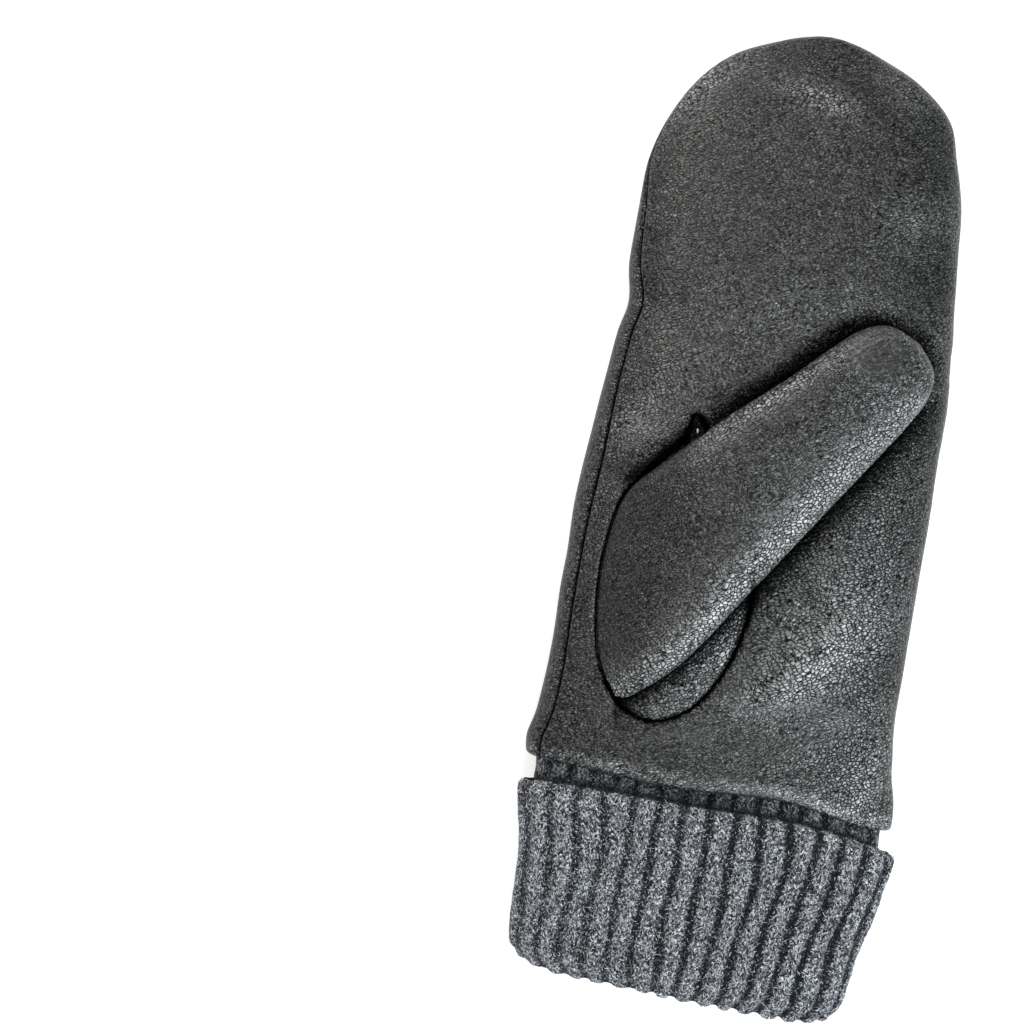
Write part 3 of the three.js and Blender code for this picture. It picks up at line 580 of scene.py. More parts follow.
def cuff_rows():
    """Sections of the knitted wall along its way: down inside the hem, round the fold, up outside and back

    Each is left, right, crown, edge, base, the middle's y, and what a section's y gains at its corners.
    """
    def turn_up(up, depth, shift=0.0):
        _, left, right, crown, edge, base = between(CUFF, place_of(CUFF, 0, up))
        y = FOLD_Y + (UPPER_Y - FOLD_Y) * up + shift
        section = (left + depth, right - depth, crown - depth, edge, base + depth)
        return (*section, y, FOLD_RISE * (1 - up), -UPPER_DROP * up)

    def tube(row, depth):
        y, left, right, crown, edge, base = row
        return left + depth, right - depth, crown - depth, edge, base + depth, y, 0.0, 0.0

    def sewn_in(y, depth):
        place = place_of(HAND, HAND_Y, y)
        row = between(HAND, place)
        inset = leather_wall(place) + SEAM_GAP + SEWN_SLACK + depth
        sides = (row[LEFT] + inset, row[RIGHT] - inset, row[CROWN] - inset, row[EDGE], row[BASE] + inset)
        return (*sides, y, 0.0, 0.0)

    inner = TURN_IN + KNIT
    return np.array([
        *(sewn_in(y, KNIT) for y in SEWN_IN),
        *(tube(row, KNIT) for row in TUBE),
        turn_up(0.38, inner),
        turn_up(0.08, inner),
        turn_up(0, TURN_IN + KNIT * 0.6, 0.9),
        turn_up(0, inner / 2, -0.9),
        turn_up(0, KNIT * 0.4, 0.9),
        turn_up(0.1, 0),
        turn_up(0.38, 0),
        turn_up(0.66, 0),
        turn_up(0.9, 0),
        turn_up(0.975, 0.1),
        turn_up(1, KNIT / 2),
        turn_up(0.975, KNIT),
        turn_up(0.66, KNIT),
        turn_up(0.1, KNIT),
        turn_up(0.06, KNIT + FOLD_GAP / 2),
        turn_up(0.1, TURN_IN),
        turn_up(0.38, TURN_IN),
        *(tube(row, 0) for row in TUBE[::-1]),
        *(sewn_in(y, 0) for y in SEWN_IN[::-1]),
    ])


# Rows of the mesh in each span between two of those sections, and how many come before each section
CUFF_STEPS = (2, 2, 3, 4, 6, 4, 3, 3, 5, 12, 30, 32, 26, 8, 4, 4, 6, 6, 2, 2, 6, 8, 14, 7, 3, 2)
CUFF_ENDS = np.cumsum((0, *CUFF_STEPS))

# Numbers of the sections at the bottom of the fold, half way up outside, at the upper edge, and of the tube within
FOLD, OUTSIDE, UPPER_EDGE, TUBE_FROM, TUBE_TO = 8, 11, 15, 22, 24


def knit_relief(rib, course, place, look):
    """Height of the ribs: a cosine pushed towards a square wave

    It is lower on the thumb's side and at the rolled edge, and swells and shrinks slowly along each rib. rib
    counts ribs round the cuff, course counts stitches along it, and place is a row's place between the sections.
    """
    ribs = np.tanh(1.5 * (np.cos(2 * np.pi * rib) + 0.2))
    turn = 2 * np.pi * rib / look.ribs
    strength = (0.78 + 0.22 * np.cos(turn)) * (1 - 0.8 * bell(place - UPPER_EDGE, 0.8))
    uneven = 1 + 0.16 * np.sin(0.55 * course + 11 * turn) + 0.1 * np.sin(1.3 * course - 7 * turn)
    return look.relief * strength * uneven * ribs + 0.12 * np.sin(0.4 * course + 5 * turn)


# Meshes


def weld(points, quads):
    """Points that coincide made one"""
    _, first, same = np.unique(np.round(points, 5), axis=0, return_index=True, return_inverse=True)
    return points[first], same.reshape(-1)[quads], first


def grid_quads(rows, columns, wraps=False):
    """Corner numbers of a grid's quads"""
    index = np.arange(rows * columns).reshape(rows, columns)
    if wraps:
        index = np.concatenate([index, index[:, :1]], 1)
    return np.stack([index[:-1, :-1], index[:-1, 1:], index[1:, 1:], index[1:, :-1]], -1)


def shell(outside, inside, kept=None):
    """Closed wall between two grids: the first, the second turned over, and a strip along every open edge"""
    rows, columns = outside.shape[:2]
    quads = grid_quads(rows, columns)
    quads = quads[kept] if kept is not None else quads.reshape(-1, 4)
    count = rows * columns
    edges = np.concatenate([quads[:, (k, (k + 1) % 4)] for k in range(4)])
    there, back = edges @ (count, 1), edges @ (1, count)
    start, end = edges[~np.isin(there, back)].T
    strip = np.stack([end, start, start + count, end + count], -1)
    points = np.concatenate([outside.reshape(-1, 3), inside.reshape(-1, 3)])
    return points, np.concatenate([quads, quads[:, ::-1] + count, strip])


def both_sides(values):
    """The same values for the outside and the inside of a wall"""
    return {name: np.concatenate([value.ravel(), value.ravel()]) for name, value in values.items()}


def make_mesh(name, points, quads, values, uv=None):
    """Mesh object from points in millimetres, faces turned outwards, with values at its points"""
    points, quads, first = weld(points, quads)
    turned = quads != np.roll(quads, 1, axis=1)
    sides = turned.sum(1)
    turned[sides < 3] = False
    sides = sides[sides > 2]
    corners = quads[turned]
    a, b, c, d = (points[quads[:, k]] for k in range(4))
    volume = np.einsum("ij,ij->", a, np.cross(b, c)) + np.einsum("ij,ij->", a, np.cross(c, d))
    mesh = bpy.data.meshes.new(name)
    mesh.vertices.add(len(points))
    mesh.vertices.foreach_set("co", (points * MM).ravel())
    mesh.loops.add(len(corners))
    mesh.loops.foreach_set("vertex_index", corners.astype(np.int32))
    mesh.polygons.add(len(sides))
    mesh.polygons.foreach_set("loop_start", np.concatenate([[0], np.cumsum(sides)[:-1]]).astype(np.int32))
    mesh.update(calc_edges=True)
    if uv is not None:
        layer = mesh.uv_layers.new(name="stitches")
        layer.data.foreach_set("uv", uv[turned].astype(np.float32).ravel())
    for title, value in values.items():
        attribute = mesh.attributes.new(title, "FLOAT", "POINT")
        attribute.data.foreach_set("value", np.asarray(value, np.float32).ravel()[first])
    mesh.polygons.foreach_set("use_smooth", np.ones(len(sides), bool))
    if volume < 0:
        mesh.flip_normals()
    if mesh.validate(verbose=False):
        raise RuntimeError(f"{name} had faces that Blender had to mend")
    piece = bpy.data.objects.new(name, mesh)
    bpy.context.scene.collection.objects.link(piece)
    return piece


def finish_piece(piece, material, nodes=()):
    """Gives a piece its material, lets it ride with the part and stand for its CAD nodes"""
    piece.data.materials.append(material)
    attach(piece, "root")
    if nodes:
        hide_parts(*nodes)


# Materials


class Wiring:
    """Adds nodes to a tree. An input may be a value or the output of another node."""

    def __init__(self, tree):
        self.tree = tree

    def node(self, kind, inputs=None, **settings):
        node = self.tree.nodes.new("ShaderNode" + kind)
        for name, value in settings.items():
            setattr(node, name, value)
        for name, value in (inputs or {}).items():
            if isinstance(value, bpy.types.NodeSocket):
                self.tree.links.new(value, node.inputs[name])
            else:
                node.inputs[name].default_value = value
        return node

    def math(self, operation, *values, clamp=False):
        inputs = dict(enumerate(values))
        return self.node("Math", inputs, operation=operation, use_clamp=clamp).outputs[0]

    def times(self, value, *factors, clamp=False):
        for factor in factors:
            value = self.math("MULTIPLY", value, factor, clamp=clamp)
        return value

    def plus(self, value, more, factor, clamp=False):
        """The value, and more of another times a factor"""
        return self.math("MULTIPLY_ADD", more, factor, value, clamp=clamp)

    def vector(self, operation, first, second):
        inputs = {0: first, "Scale" if operation == "SCALE" else 1: second}
        return self.node("VectorMath", inputs, operation=operation).outputs[0]

    def remap(self, value, low, high, to_low=0.0, to_high=1.0):
        inputs = {"Value": value, "From Min": low, "From Max": high, "To Min": to_low, "To Max": to_high}
        return self.node("MapRange", inputs, interpolation_type="SMOOTHSTEP").outputs["Result"]

    def noise(self, vector, scale, detail=2.0, roughness=0.5, output="Fac"):
        inputs = {"Vector": vector, "Scale": scale, "Detail": detail, "Roughness": roughness}
        return self.node("TexNoise", inputs).outputs[output]

    def wander(self, vector, scale, detail, reach):
        """Vectors that drift by noise, up to half a reach to either side"""
        drift = self.noise(vector, scale, detail, output="Color")
        return self.vector("SCALE", self.vector("SUBTRACT", drift, (0.5, 0.5, 0.5)), reach)

    def turn(self, vector, angle):
        return self.node("VectorRotate", {"Vector": vector, "Angle": angle}, rotation_type="Z_AXIS").outputs[0]

    def drawn_out(self, vector, share):
        """A pattern made longer in X: it is read at a share of each step"""
        return self.vector("MULTIPLY", vector, (share, 1.0, 1.0))

    def parts(self, vector):
        return self.node("SeparateXYZ", {0: vector}).outputs

    def mix(self, share, low, high):
        return self.node("Mix", {"Factor": share, "A": low, "B": high}, data_type="FLOAT").outputs["Result"]

    def mix_colours(self, share, low, high):
        node = self.node("Mix", data_type="RGBA")
        for name, value in (("Factor_Float", share), ("A_Color", low), ("B_Color", high)):
            socket = next(s for s in node.inputs if s.identifier == name)
            if isinstance(value, bpy.types.NodeSocket):
                self.tree.links.new(value, socket)
            else:
                socket.default_value = value
        return next(s for s in node.outputs if s.identifier == "Result_Color")

    def attribute(self, name):
        return self.node("Attribute", attribute_name=name).outputs["Fac"]

    def bump(self, height):
        """Normal that follows a height in millimetres"""
        return self.node("Bump", {"Height": height, "Strength": 1.0, "Distance": MM}).outputs[0]

    def surface(self, inputs):
        """Principled shader with these inputs, put out as the material's surface"""
        self.node("OutputMaterial", {"Surface": self.node("BsdfPrincipled", inputs).outputs[0]})

    def put_out(self, ends, values):
        for name, value in values.items():
            self.tree.links.new(value, ends[name])


def new_group(name, vectors, values, outputs):
    """Empty node group with inputs for vectors and for values, and the wiring of its two ends"""
    group = bpy.data.node_groups.new(name, "ShaderNodeTree")
    for titles, end, kind in ((vectors, "INPUT", "Vector"), (values, "INPUT", "Float"), (outputs, "OUTPUT", "Float")):
        for title in titles:
            group.interface.new_socket(name=title, in_out=end, socket_type="NodeSocket" + kind)
    start = group.nodes.new("NodeGroupInput")
    end = group.nodes.new("NodeGroupOutput")
    return group, Wiring(group), start.outputs, end.inputs


def new_material(name):
    """Empty node material, and the wiring of its tree"""
    material = bpy.data.materials.new(name)
    material.use_nodes = True
    material.node_tree.nodes.clear()
    return material, Wiring(material.node_tree)


def leather_grain_group():
    """Pebbled grain, in millimetres: coarse pebbles where the leather is slack, finer ones with faint beaded
    wrinkles where it is stretched, and short pleats along the seams; with masks for painted shade in the hollows and
    painted highlight on tops and crests"""
    if "Leather grain" in bpy.data.node_groups:
        return bpy.data.node_groups["Leather grain"]
    group, wire, given, result = new_group(
        "Leather grain", ["Position"], ["Turn", "Pebble", "Stretch", "Slack", "Pleats", "Run", "Pleat length"],
        ["Height", "Hollows", "Patches", "Lights"])
    place = wire.vector("SCALE", given["Position"], 1 / MM)
    drift = wire.wander(place, 0.07, 2.0, 5.0)
    shake = wire.wander(place, 0.9, 1.0, 0.4)
    turned = wire.turn(wire.vector("ADD", wire.vector("ADD", place, drift), shake), given["Turn"])

    def cells(vector, scale):
        """Square of the way down from a cell's top to the crease round it, and a shade of the cell's own"""
        inputs = {"Vector": vector, "Scale": scale, "Randomness": 0.8}
        edge = wire.node("TexVoronoi", inputs, feature="DISTANCE_TO_EDGE").outputs["Distance"]
        down = wire.plus(1.0, edge, -1 / CREASE, clamp=True)
        own = wire.node("TexVoronoi", inputs, feature="F1").outputs["Color"]
        return wire.times(down, down), wire.parts(own)[0]

    def wrinkle(vector, scale, width):
        """A thin wavy crest where a noise passes its middle value, and close beside it a furrow line that is only
        painted shadow, as if the crest were lit from one side
        """
        noise = wire.noise(vector, scale, 1.5)
        lines = []
        for level in (0.5, 0.5 - 1.8 * width):
            away = wire.math("ABSOLUTE", wire.math("SUBTRACT", noise, level))
            lines.append(wire.plus(1.0, away, -1 / width, clamp=True))
        return lines

    # Where the leather is slack, and where it is calm
    patches = wire.noise(place, 0.055, 3.0, 0.55)
    slack = wire.plus(given["Slack"], wire.math("SUBTRACT", patches, 0.5), 0.35)
    coarse = wire.remap(slack, 0.0, 1.0)
    calm = wire.remap(slack, -0.7, -0.1, 0.3, 1.0)

    # Pebbles, wrinkles and pleats
    squeeze = wire.node("CombineXYZ", {"X": wire.math("DIVIDE", 1.0, given["Stretch"]), "Y": 1.0, "Z": 1.0})
    stretched = wire.vector("MULTIPLY", turned, squeeze.outputs[0])
    size = wire.math("DIVIDE", 1.0, given["Pebble"])
    between_pebbles, pebble_shade = cells(stretched, size)
    between_fine, fine_shade = cells(wire.drawn_out(stretched, 0.75), wire.times(size, 1.3))
    crossing = wire.turn(turned, math.radians(34))
    crest, furrow_shadow = wrinkle(wire.drawn_out(turned, 0.26), 0.75, 0.034)
    crossing_crest, crossing_furrow_shadow = wrinkle(wire.drawn_out(crossing, 0.4), 0.65, 0.03)
    wrinkles = wire.math("MAXIMUM", crest, wire.times(crossing_crest, 0.75))
    furrow_shadows = wire.math("MAXIMUM", furrow_shadow, wire.times(crossing_furrow_shadow, 0.75))
    beads = wire.remap(wire.noise(place, 1.7, 1.0), 0.4, 0.62, 0.5, 1.7)
    turns = wire.math("DIVIDE", wire.times(given["Run"], 2 * math.pi), given["Pleat length"])
    turns = wire.math("ADD", turns, wire.times(wire.noise(place, 0.7), 9.0))
    pleats = wire.times(wire.math("SINE", turns), wire.remap(wire.noise(place, 0.8, 1.0), 0.3, 0.65, 0.25, 1.0))

    # Height
    depth = wire.mix(coarse, wire.times(between_fine, 0.09), wire.times(between_pebbles, 0.11))
    depth = wire.times(wire.plus(depth, wrinkles, -0.045), calm)
    height = wire.plus(wire.times(depth, -1.0), wire.noise(place, 5.0, 2.0, 0.6), 0.003)
    swell = wire.noise(wire.drawn_out(turned, 0.4), 0.95, 1.5)
    height = wire.math("ADD", wire.times(swell, calm, wire.mix(coarse, 0.35, 0.3)), height)
    height = wire.plus(height, wire.times(pleats, given["Pleats"]), 0.06)

    # How much painted shade a point takes: in a hollow between pebbles, in the furrow shadow beside a wrinkle, and in
    # a pleat's fold
    hollows = wire.mix(coarse, between_fine, wire.times(between_pebbles, 1.15))
    hollows = wire.math("MAXIMUM", hollows, wire.times(furrow_shadows, wire.mix(coarse, 0.9, 0.25)))
    folded = wire.times(wire.remap(pleats, 0.2, -0.8), given["Pleats"])
    hollows = wire.plus(wire.times(hollows, calm), folded, 0.3, clamp=True)

    # How much painted highlight a point takes: pebble tops, wrinkle crests and pleat tops
    fine_lights = wire.plus(wire.times(wrinkles, beads, 0.7), fine_shade, 0.42)
    pebble_lights = wire.plus(wire.plus(0.3, pebble_shade, 0.6), wrinkles, 0.2)
    lights = wire.mix(coarse, wire.times(fine_lights, calm), pebble_lights)
    streaks = wire.noise(wire.drawn_out(turned, 0.25), 0.5)
    lights = wire.times(lights, wire.remap(streaks, 0.3, 0.6, 0.9, 1.0))
    tops = wire.times(wire.remap(pleats, 0.2, 0.9), given["Pleats"])
    lights = wire.math("MAXIMUM", lights, wire.times(tops, 0.8))
    wire.put_out(result, {"Height": height, "Hollows": hollows, "Patches": patches, "Lights": lights})
    return group


def leather_material(name, look, turn):
    """Soft charcoal leather with painted light in its colour: pebbles paler by a painted highlight, and near-black
    hollows of painted shade between them, its grain turned by degrees

    Hollows and places of painted shade count as a black metal, which takes away their reflection too.
    """
    material, wire = new_material(name)
    grain = wire.node("Group", {
        "Position": wire.node("TexCoord").outputs["Object"],
        "Run": wire.attribute("run"), "Pleats": wire.attribute("pleats"), "Slack": wire.attribute("slack"),
        "Turn": math.radians(turn), "Pebble": look.pebble, "Stretch": look.stretch, "Pleat length": look.pleat,
    }, node_tree=leather_grain_group()).outputs
    shade = wire.attribute("shade")
    tone = wire.remap(grain["Patches"], 0.3, 0.7)
    colour = wire.mix_colours(tone, (*look.colour, 1.0), (*look.tint, 1.0))
    painted_highlight = wire.times(wire.attribute("painted_sheen"), grain["Lights"], clamp=True)
    colour = wire.mix_colours(painted_highlight, colour, (*look.painted_highlight, 1.0))
    colour = wire.mix_colours(grain["Hollows"], colour, (*look.hollow_shade, 1.0))
    # Painted shade and the hollows' painted shade turn the colour near-black and, as metal, take away its reflection
    wire.surface({
        "Base Color": wire.mix_colours(shade, colour, (0.002, 0.002, 0.002, 1.0)),
        "Metallic": wire.plus(shade, grain["Hollows"], 0.85, clamp=True),
        "Normal": wire.bump(grain["Height"]),
        "Roughness": look.roughness,
        "Specular IOR Level": look.gloss,
    })
    return material


def knitted_yarn_group():
    """Heather yarn knitted in V-shaped stitches: bundles of short hairs, each with its own shade

    Stitches counts rows of stitches in x and courses in y. Each half of a row is the other's mirror, and its
    hairs climb at a slant. Sizes are in millimetres.
    """
    group, wire, given, result = new_group(
        "Knitted yarn", ["Stitches", "Position"], ["Row", "Course"], ["Tone", "Height", "Gap shade"])
    place = wire.vector("SCALE", given["Position"], 1 / MM)
    drift = wire.parts(wire.wander(place, 0.9, 2.0, 1.5))
    count = wire.parts(given["Stitches"])

    # Way along the hairs and across them, from the middle of a stitch
    side = wire.plus(-1.0, wire.math("FRACT", count[0]), 2.0)
    half = wire.times(wire.math("ABSOLUTE", side), wire.times(given["Row"], 0.5))
    half = wire.math("ADD", half, drift[0])
    up = wire.math("MULTIPLY_ADD", count[1], given["Course"], drift[1])
    sine, cosine = math.sin(YARN_SLANT), math.cos(YARN_SLANT)
    along = wire.plus(wire.times(up, sine), half, cosine)
    over = wire.plus(wire.times(up, cosine), half, -sine)

    # Legs of the stitches, and the hairs in them
    turns = wire.math("DIVIDE", over, wire.times(given["Course"], cosine))
    legs = wire.math("POWER", wire.math("ABSOLUTE", wire.math("SINE", wire.times(turns, math.pi))), 0.5)
    whose = wire.plus(wire.math("SIGN", side), wire.math("FLOOR", count[0]), 7.3)
    length, width = (wire.math("DIVIDE", way, part) for way, part in ((along, BUNDLE[0]), (over, BUNDLE[1])))
    bundle = wire.node("CombineXYZ", {"X": length, "Y": width, "Z": whose}).outputs[0]
    hairs = wire.node("TexVoronoi", {"Vector": bundle, "Scale": 1.0, "Randomness": 1.0}, feature="F1").outputs
    away = hairs["Distance"]
    stray = wire.noise(place, 3.4, 3.0, 0.7)
    clouds = wire.noise(place, 0.25, 3.0, 0.6)
    tone = wire.plus(wire.parts(hairs["Color"])[0], wire.math("SUBTRACT", stray, 0.5), 0.9)
    tone = wire.plus(tone, wire.math("SUBTRACT", clouds, 0.5), 0.35)
    # Painted shade between the hairs and between the stitches' legs
    gap_shade = wire.times(wire.remap(away, 0.35, 0.85), 0.7)
    gap_shade = wire.math("ADD", gap_shade, wire.times(wire.math("SUBTRACT", 1.0, legs), 0.7), clamp=True)
    height = wire.plus(wire.plus(wire.times(stray, 0.35), legs, 0.3), away, -0.22)
    wire.put_out(result, {"Tone": tone, "Height": height, "Gap shade": gap_shade})
    return group


def knit_material(look):
    """Ribbed heather wool: every hair dark, middle or pale, with painted shade between hairs, in the grooves and
    inside the turned-up part
    """
    material, wire = new_material("ribbed_wool")
    yarn = wire.node("Group", {
        "Stitches": wire.node("UVMap", uv_map="stitches").outputs[0],
        "Position": wire.node("TexCoord").outputs["Object"],
        "Row": ROW_WIDTH, "Course": look.course,
    }, node_tree=knitted_yarn_group()).outputs
    dark, middle, pale = ((*colour, 1.0) for colour in (look.dark, look.middle, look.pale))
    colour = wire.mix_colours(wire.remap(yarn["Tone"], 0.15, 0.5), dark, middle)
    colour = wire.mix_colours(wire.remap(yarn["Tone"], 0.5, 1.0), colour, pale)
    # Painted shade between hairs, in the grooves and inside the turned-up part turns the wool a darker dark with
    # little reflection
    gap_shade = wire.plus(wire.times(yarn["Gap shade"], 0.9), wire.attribute("groove_shade"), 0.8)
    gap_shade = wire.times(wire.math("MAXIMUM", gap_shade, wire.attribute("shade")), 0.95, clamp=True)
    wire.surface({
        "Base Color": wire.mix_colours(gap_shade, colour, (*(0.6 * part for part in look.dark), 1.0)),
        "Metallic": wire.times(gap_shade, 0.55),
        "Normal": wire.bump(yarn["Height"]),
        "Roughness": 0.95,
        "Specular IOR Level": 0.15,
        "Sheen Weight": 0.1,
        "Sheen Roughness": 0.5,
    })
    return material


def fibre_material(look):
    """Single wool hairs, each from dark to pale by its own shade"""
    material, wire = new_material("wool_hairs")
    pale = (*(1.25 * part for part in look.pale), 1.0)
    colour = wire.mix_colours(wire.attribute("tone"), (*look.dark, 1.0), pale)
    wire.surface({"Base Color": colour, "Roughness": 0.7, "Specular IOR Level": 0.3})
    return material


def table_material(look):
    """Pale table top that glows a little"""
    material, wire = new_material("table_top")
    wire.surface({
        "Base Color": (*look.floor, 1.0), "Roughness": 0.9,
        "Emission Color": (1.0, 1.0, 1.0, 1.0), "Emission Strength": look.glow,
    })
    return material


# Settings that a user would change


def colour_setting(name, description, default):
    return FloatVectorProperty(
        name=name, description=description, subtype="COLOR", size=3, min=0, max=1, default=default)


class LeatherLook(bpy.types.PropertyGroup):
    colour: colour_setting("Colour", "Leather on top of its pebbles", (0.018, 0.018, 0.017))
    tint: colour_setting("Tint", "Leather in its paler, warmer patches", (0.023, 0.023, 0.021))
    # Colour of the painted highlight on pebbles of folds and edges
    painted_highlight: colour_setting("Painted highlight", "Pebbles polished on folds and edges", (0.50, 0.51, 0.51))
    # Near-black colour of the hollows between pebbles, which is painted shade
    hollow_shade: colour_setting("Hollows", "Leather between its pebbles", (0.003, 0.003, 0.003))
    roughness: FloatProperty(
        name="Roughness", description="Roughness of the leather", subtype="FACTOR", min=0, max=1, default=0.3)
    gloss: FloatProperty(
        name="Gloss", description="Strength of the leather's reflections", subtype="FACTOR", min=0, max=1,
        default=0.54)
    pebble: FloatProperty(
        name="Pebble", description="Width of a coarse pebble in millimetres", min=0.3, max=4, default=0.88)
    stretch: FloatProperty(
        name="Stretch", description="Length of a pebble over its width", min=1, max=4, default=1.6)
    pleat: FloatProperty(
        name="Pleat", description="Distance between the seams' small pleats in millimetres", min=0.5, max=5,
        default=1.2)


class KnitLook(bpy.types.PropertyGroup):
    dark: colour_setting("Dark", "Darkest hairs of the yarn", (0.009, 0.011, 0.016))
    middle: colour_setting("Middle", "Most of the yarn", (0.125, 0.133, 0.150))
    pale: colour_setting("Pale", "Palest hairs of the yarn", (0.84, 0.87, 0.92))
    ribs: IntProperty(
        name="Ribs", description="Number of ribs round the cuff", min=10, max=60, default=30)
    relief: FloatProperty(
        name="Relief", description="Half the depth of a groove between ribs, in millimetres", min=0, max=2,
        default=0.7)
    course: FloatProperty(
        name="Stitch", description="Length of one stitch in millimetres", min=0.5, max=6, default=1.7)
    hairs: IntProperty(
        name="Hairs", description="Number of loose hairs in each of the two layers", min=0, max=16000,
        default=15000)
    hair_length: FloatProperty(
        name="Hair length", description="Mean length of a loose hair in millimetres", min=0.3, max=8, default=1.05)


class StageLook(bpy.types.PropertyGroup):
    floor: colour_setting("Floor", "Colour of the table", (0.88, 0.88, 0.88))
    glow: FloatProperty(
        name="Glow", description="Light that comes up through the table, which softens its shadows", min=0, max=2,
        default=0.45)
    ambient: FloatProperty(
        name="Ambient light", description="Strength of the light from all around", min=0, max=5, default=0.12)
    lamp: FloatProperty(
        name="Lamps", description="Power of the strongest soft lamp in watts", min=0, max=200, default=10.0)
    lens: FloatProperty(
        name="Lens", description="Focal length of the camera", subtype="DISTANCE_CAMERA", min=20, max=300,
        default=120)


# One operator for each piece or group of like pieces, beside the shapes that only it uses


class MakePalm(bpy.types.Operator):
    """Palm panel with its thumb hole, which lies on top of the hand"""

    bl_idname = "mitten.palm"
    bl_label = "Palm panel"

    def execute(self, context):
        outside, inside, to_seam, up, _ = panel_shape(back_seam, palm_seam, PALM_MESH, PALM_FORMS, PALM_SEED)
        kept, to_rim, run = cut_hole(outside, inside)
        points, quads = shell(outside, inside, kept)
        x, y = outside[..., 0], outside[..., 1]

        # Leather along the thumb's upper side, where it is gathered, and along its lower side
        beside, _, way = outline_distance(THUMB_EDGE, x, y)
        beside_only = np.minimum(beside, 0)
        tip = len(THUMB_EDGE) // 2
        half_way = np.hypot(*np.diff(THUMB_EDGE[:tip], axis=0).T).sum()
        along, _ = leant(x, y)
        upper = smoothstep(along, 2, 16) * (1 - smoothstep(way, half_way + 4, half_way + 16))
        lower = smoothstep(way, half_way + 14, half_way + 24)
        gathered = upper * bell(beside + 2.4, 2.2)
        at_seam, at_rim = 0.4 * bell(to_seam, 3), 0.35 * bell(to_rim, 1.8)
        at_side = 0.6 * smoothstep(x, 26, 48) * bell(y - 72, 40)

        # Painted shade: on steep sides, dark lines at the seams and the hole's rim, painted shadow along the thumb's
        # upper and lower sides, and painted shade in the slit and at the tuck
        shade = [
            STEEP_SHADE * steep_sides(outside) * (1 - 0.7 * smoothstep(y, 85, 110)),
            bell(to_seam, SEAM_SHADE),
            bell(to_rim, RIM_SHADE),
            0.94 * upper * bell(beside_only, 3.6),
            0.98 * lower * bell(beside_only, 6.2),
            0.88 * bell_along(x, y, *SLIT, 1.7),
            0.5 * bell_along(x, y, *TUCK, 4.5),
        ]

        # Slack on the hills, on the heel under the little finger, along that edge, under the painted sheen of the
        # heel and fingertip, and beside the seams; stretched on the calm patch and at the hem
        slack = 0.3 + 0.4 * smoothstep(soft_forms(outside, PALM_FORMS), 0.1, 0.9)
        slack += 0.5 * smoothstep(0.5 * x - y, -25, 20) * smoothstep(x, -8, 14) - 0.75 * soft_forms(outside, CALM)
        slack += 0.3 * smoothstep(x, 30, 48) + 0.3 * np.minimum(soft_forms(outside, PALM_SHEEN[ON_HEEL]), 1)
        slack += 0.55 * np.minimum(soft_forms(outside, PALM_SHEEN[ON_FINGERTIP]), 1)
        slack += 0.3 * (1 - smoothstep(to_seam, 3, 9)) - 0.3 * (1 - smoothstep(up, 2, 6))
        # Painted sheen: the sheen table's bands, a painted highlight along the hem's rolled lip, and more beside the
        # seams
        painted_highlight = np.maximum(0.26 + soft_forms(outside, PALM_SHEEN), 1.2 * bell(up - 2.4, 2.6))
        values = {
            "slack": slack,
            "painted_sheen": painted_highlight + 0.2 * bell(to_seam, 2.5),
            "pleats": np.maximum(0.9 * gathered, at_seam + at_rim + at_side),
            "run": np.where(gathered > 0.02, way, np.where(at_rim > 0.01, run, y - 0.3 * np.maximum(x, 0))),
            "shade": np.max(shade, axis=0),
        }
        piece = make_mesh("palm_leather", points, quads, both_sides(values))
        look = context.scene.mitten_leather
        finish_piece(piece, leather_material("palm_leather", look, turn=-32), ["palm_panel"])
        return {"FINISHED"}


class MakeBack(bpy.types.Operator):
    """Back panel, which the mitten lies on and which shows as a strip along the thumb's side"""

    bl_idname = "mitten.back"
    bl_label = "Back panel"

    def execute(self, context):
        def far_seam(place):
            return back_seam(place) + 2 * np.pi

        outside, inside, to_seam, up, place = panel_shape(palm_seam, far_seam, BACK_MESH, BACK_FORMS, BACK_SEED)
        points, quads = shell(outside, inside)
        # Painted shade on the steep sides and dark lines at the seams; painted sheen all over, more beside the seams
        # and along the hem's lip
        values = {
            "slack": 0.15 + 0.7 * smoothstep(place, LAST_ROW - 5.5, LAST_ROW - 3) + 0.5 * (1 - smoothstep(up, 2, 12)),
            "painted_sheen": 0.34 + 0.1 * bell(to_seam, 2) + 0.5 * bell(up - 2.2, 2.2),
            "pleats": bell(to_seam, 6) * 0.45,
            "run": outside[..., 1],
            "shade": np.maximum(bell(to_seam, SEAM_SHADE), STEEP_SHADE * steep_sides(outside)),
        }
        piece = make_mesh("back_leather", points, quads, both_sides(values))
        look = context.scene.mitten_leather
        finish_piece(piece, leather_material("back_leather", look, turn=20), ["back_panel"])
        return {"FINISHED"}


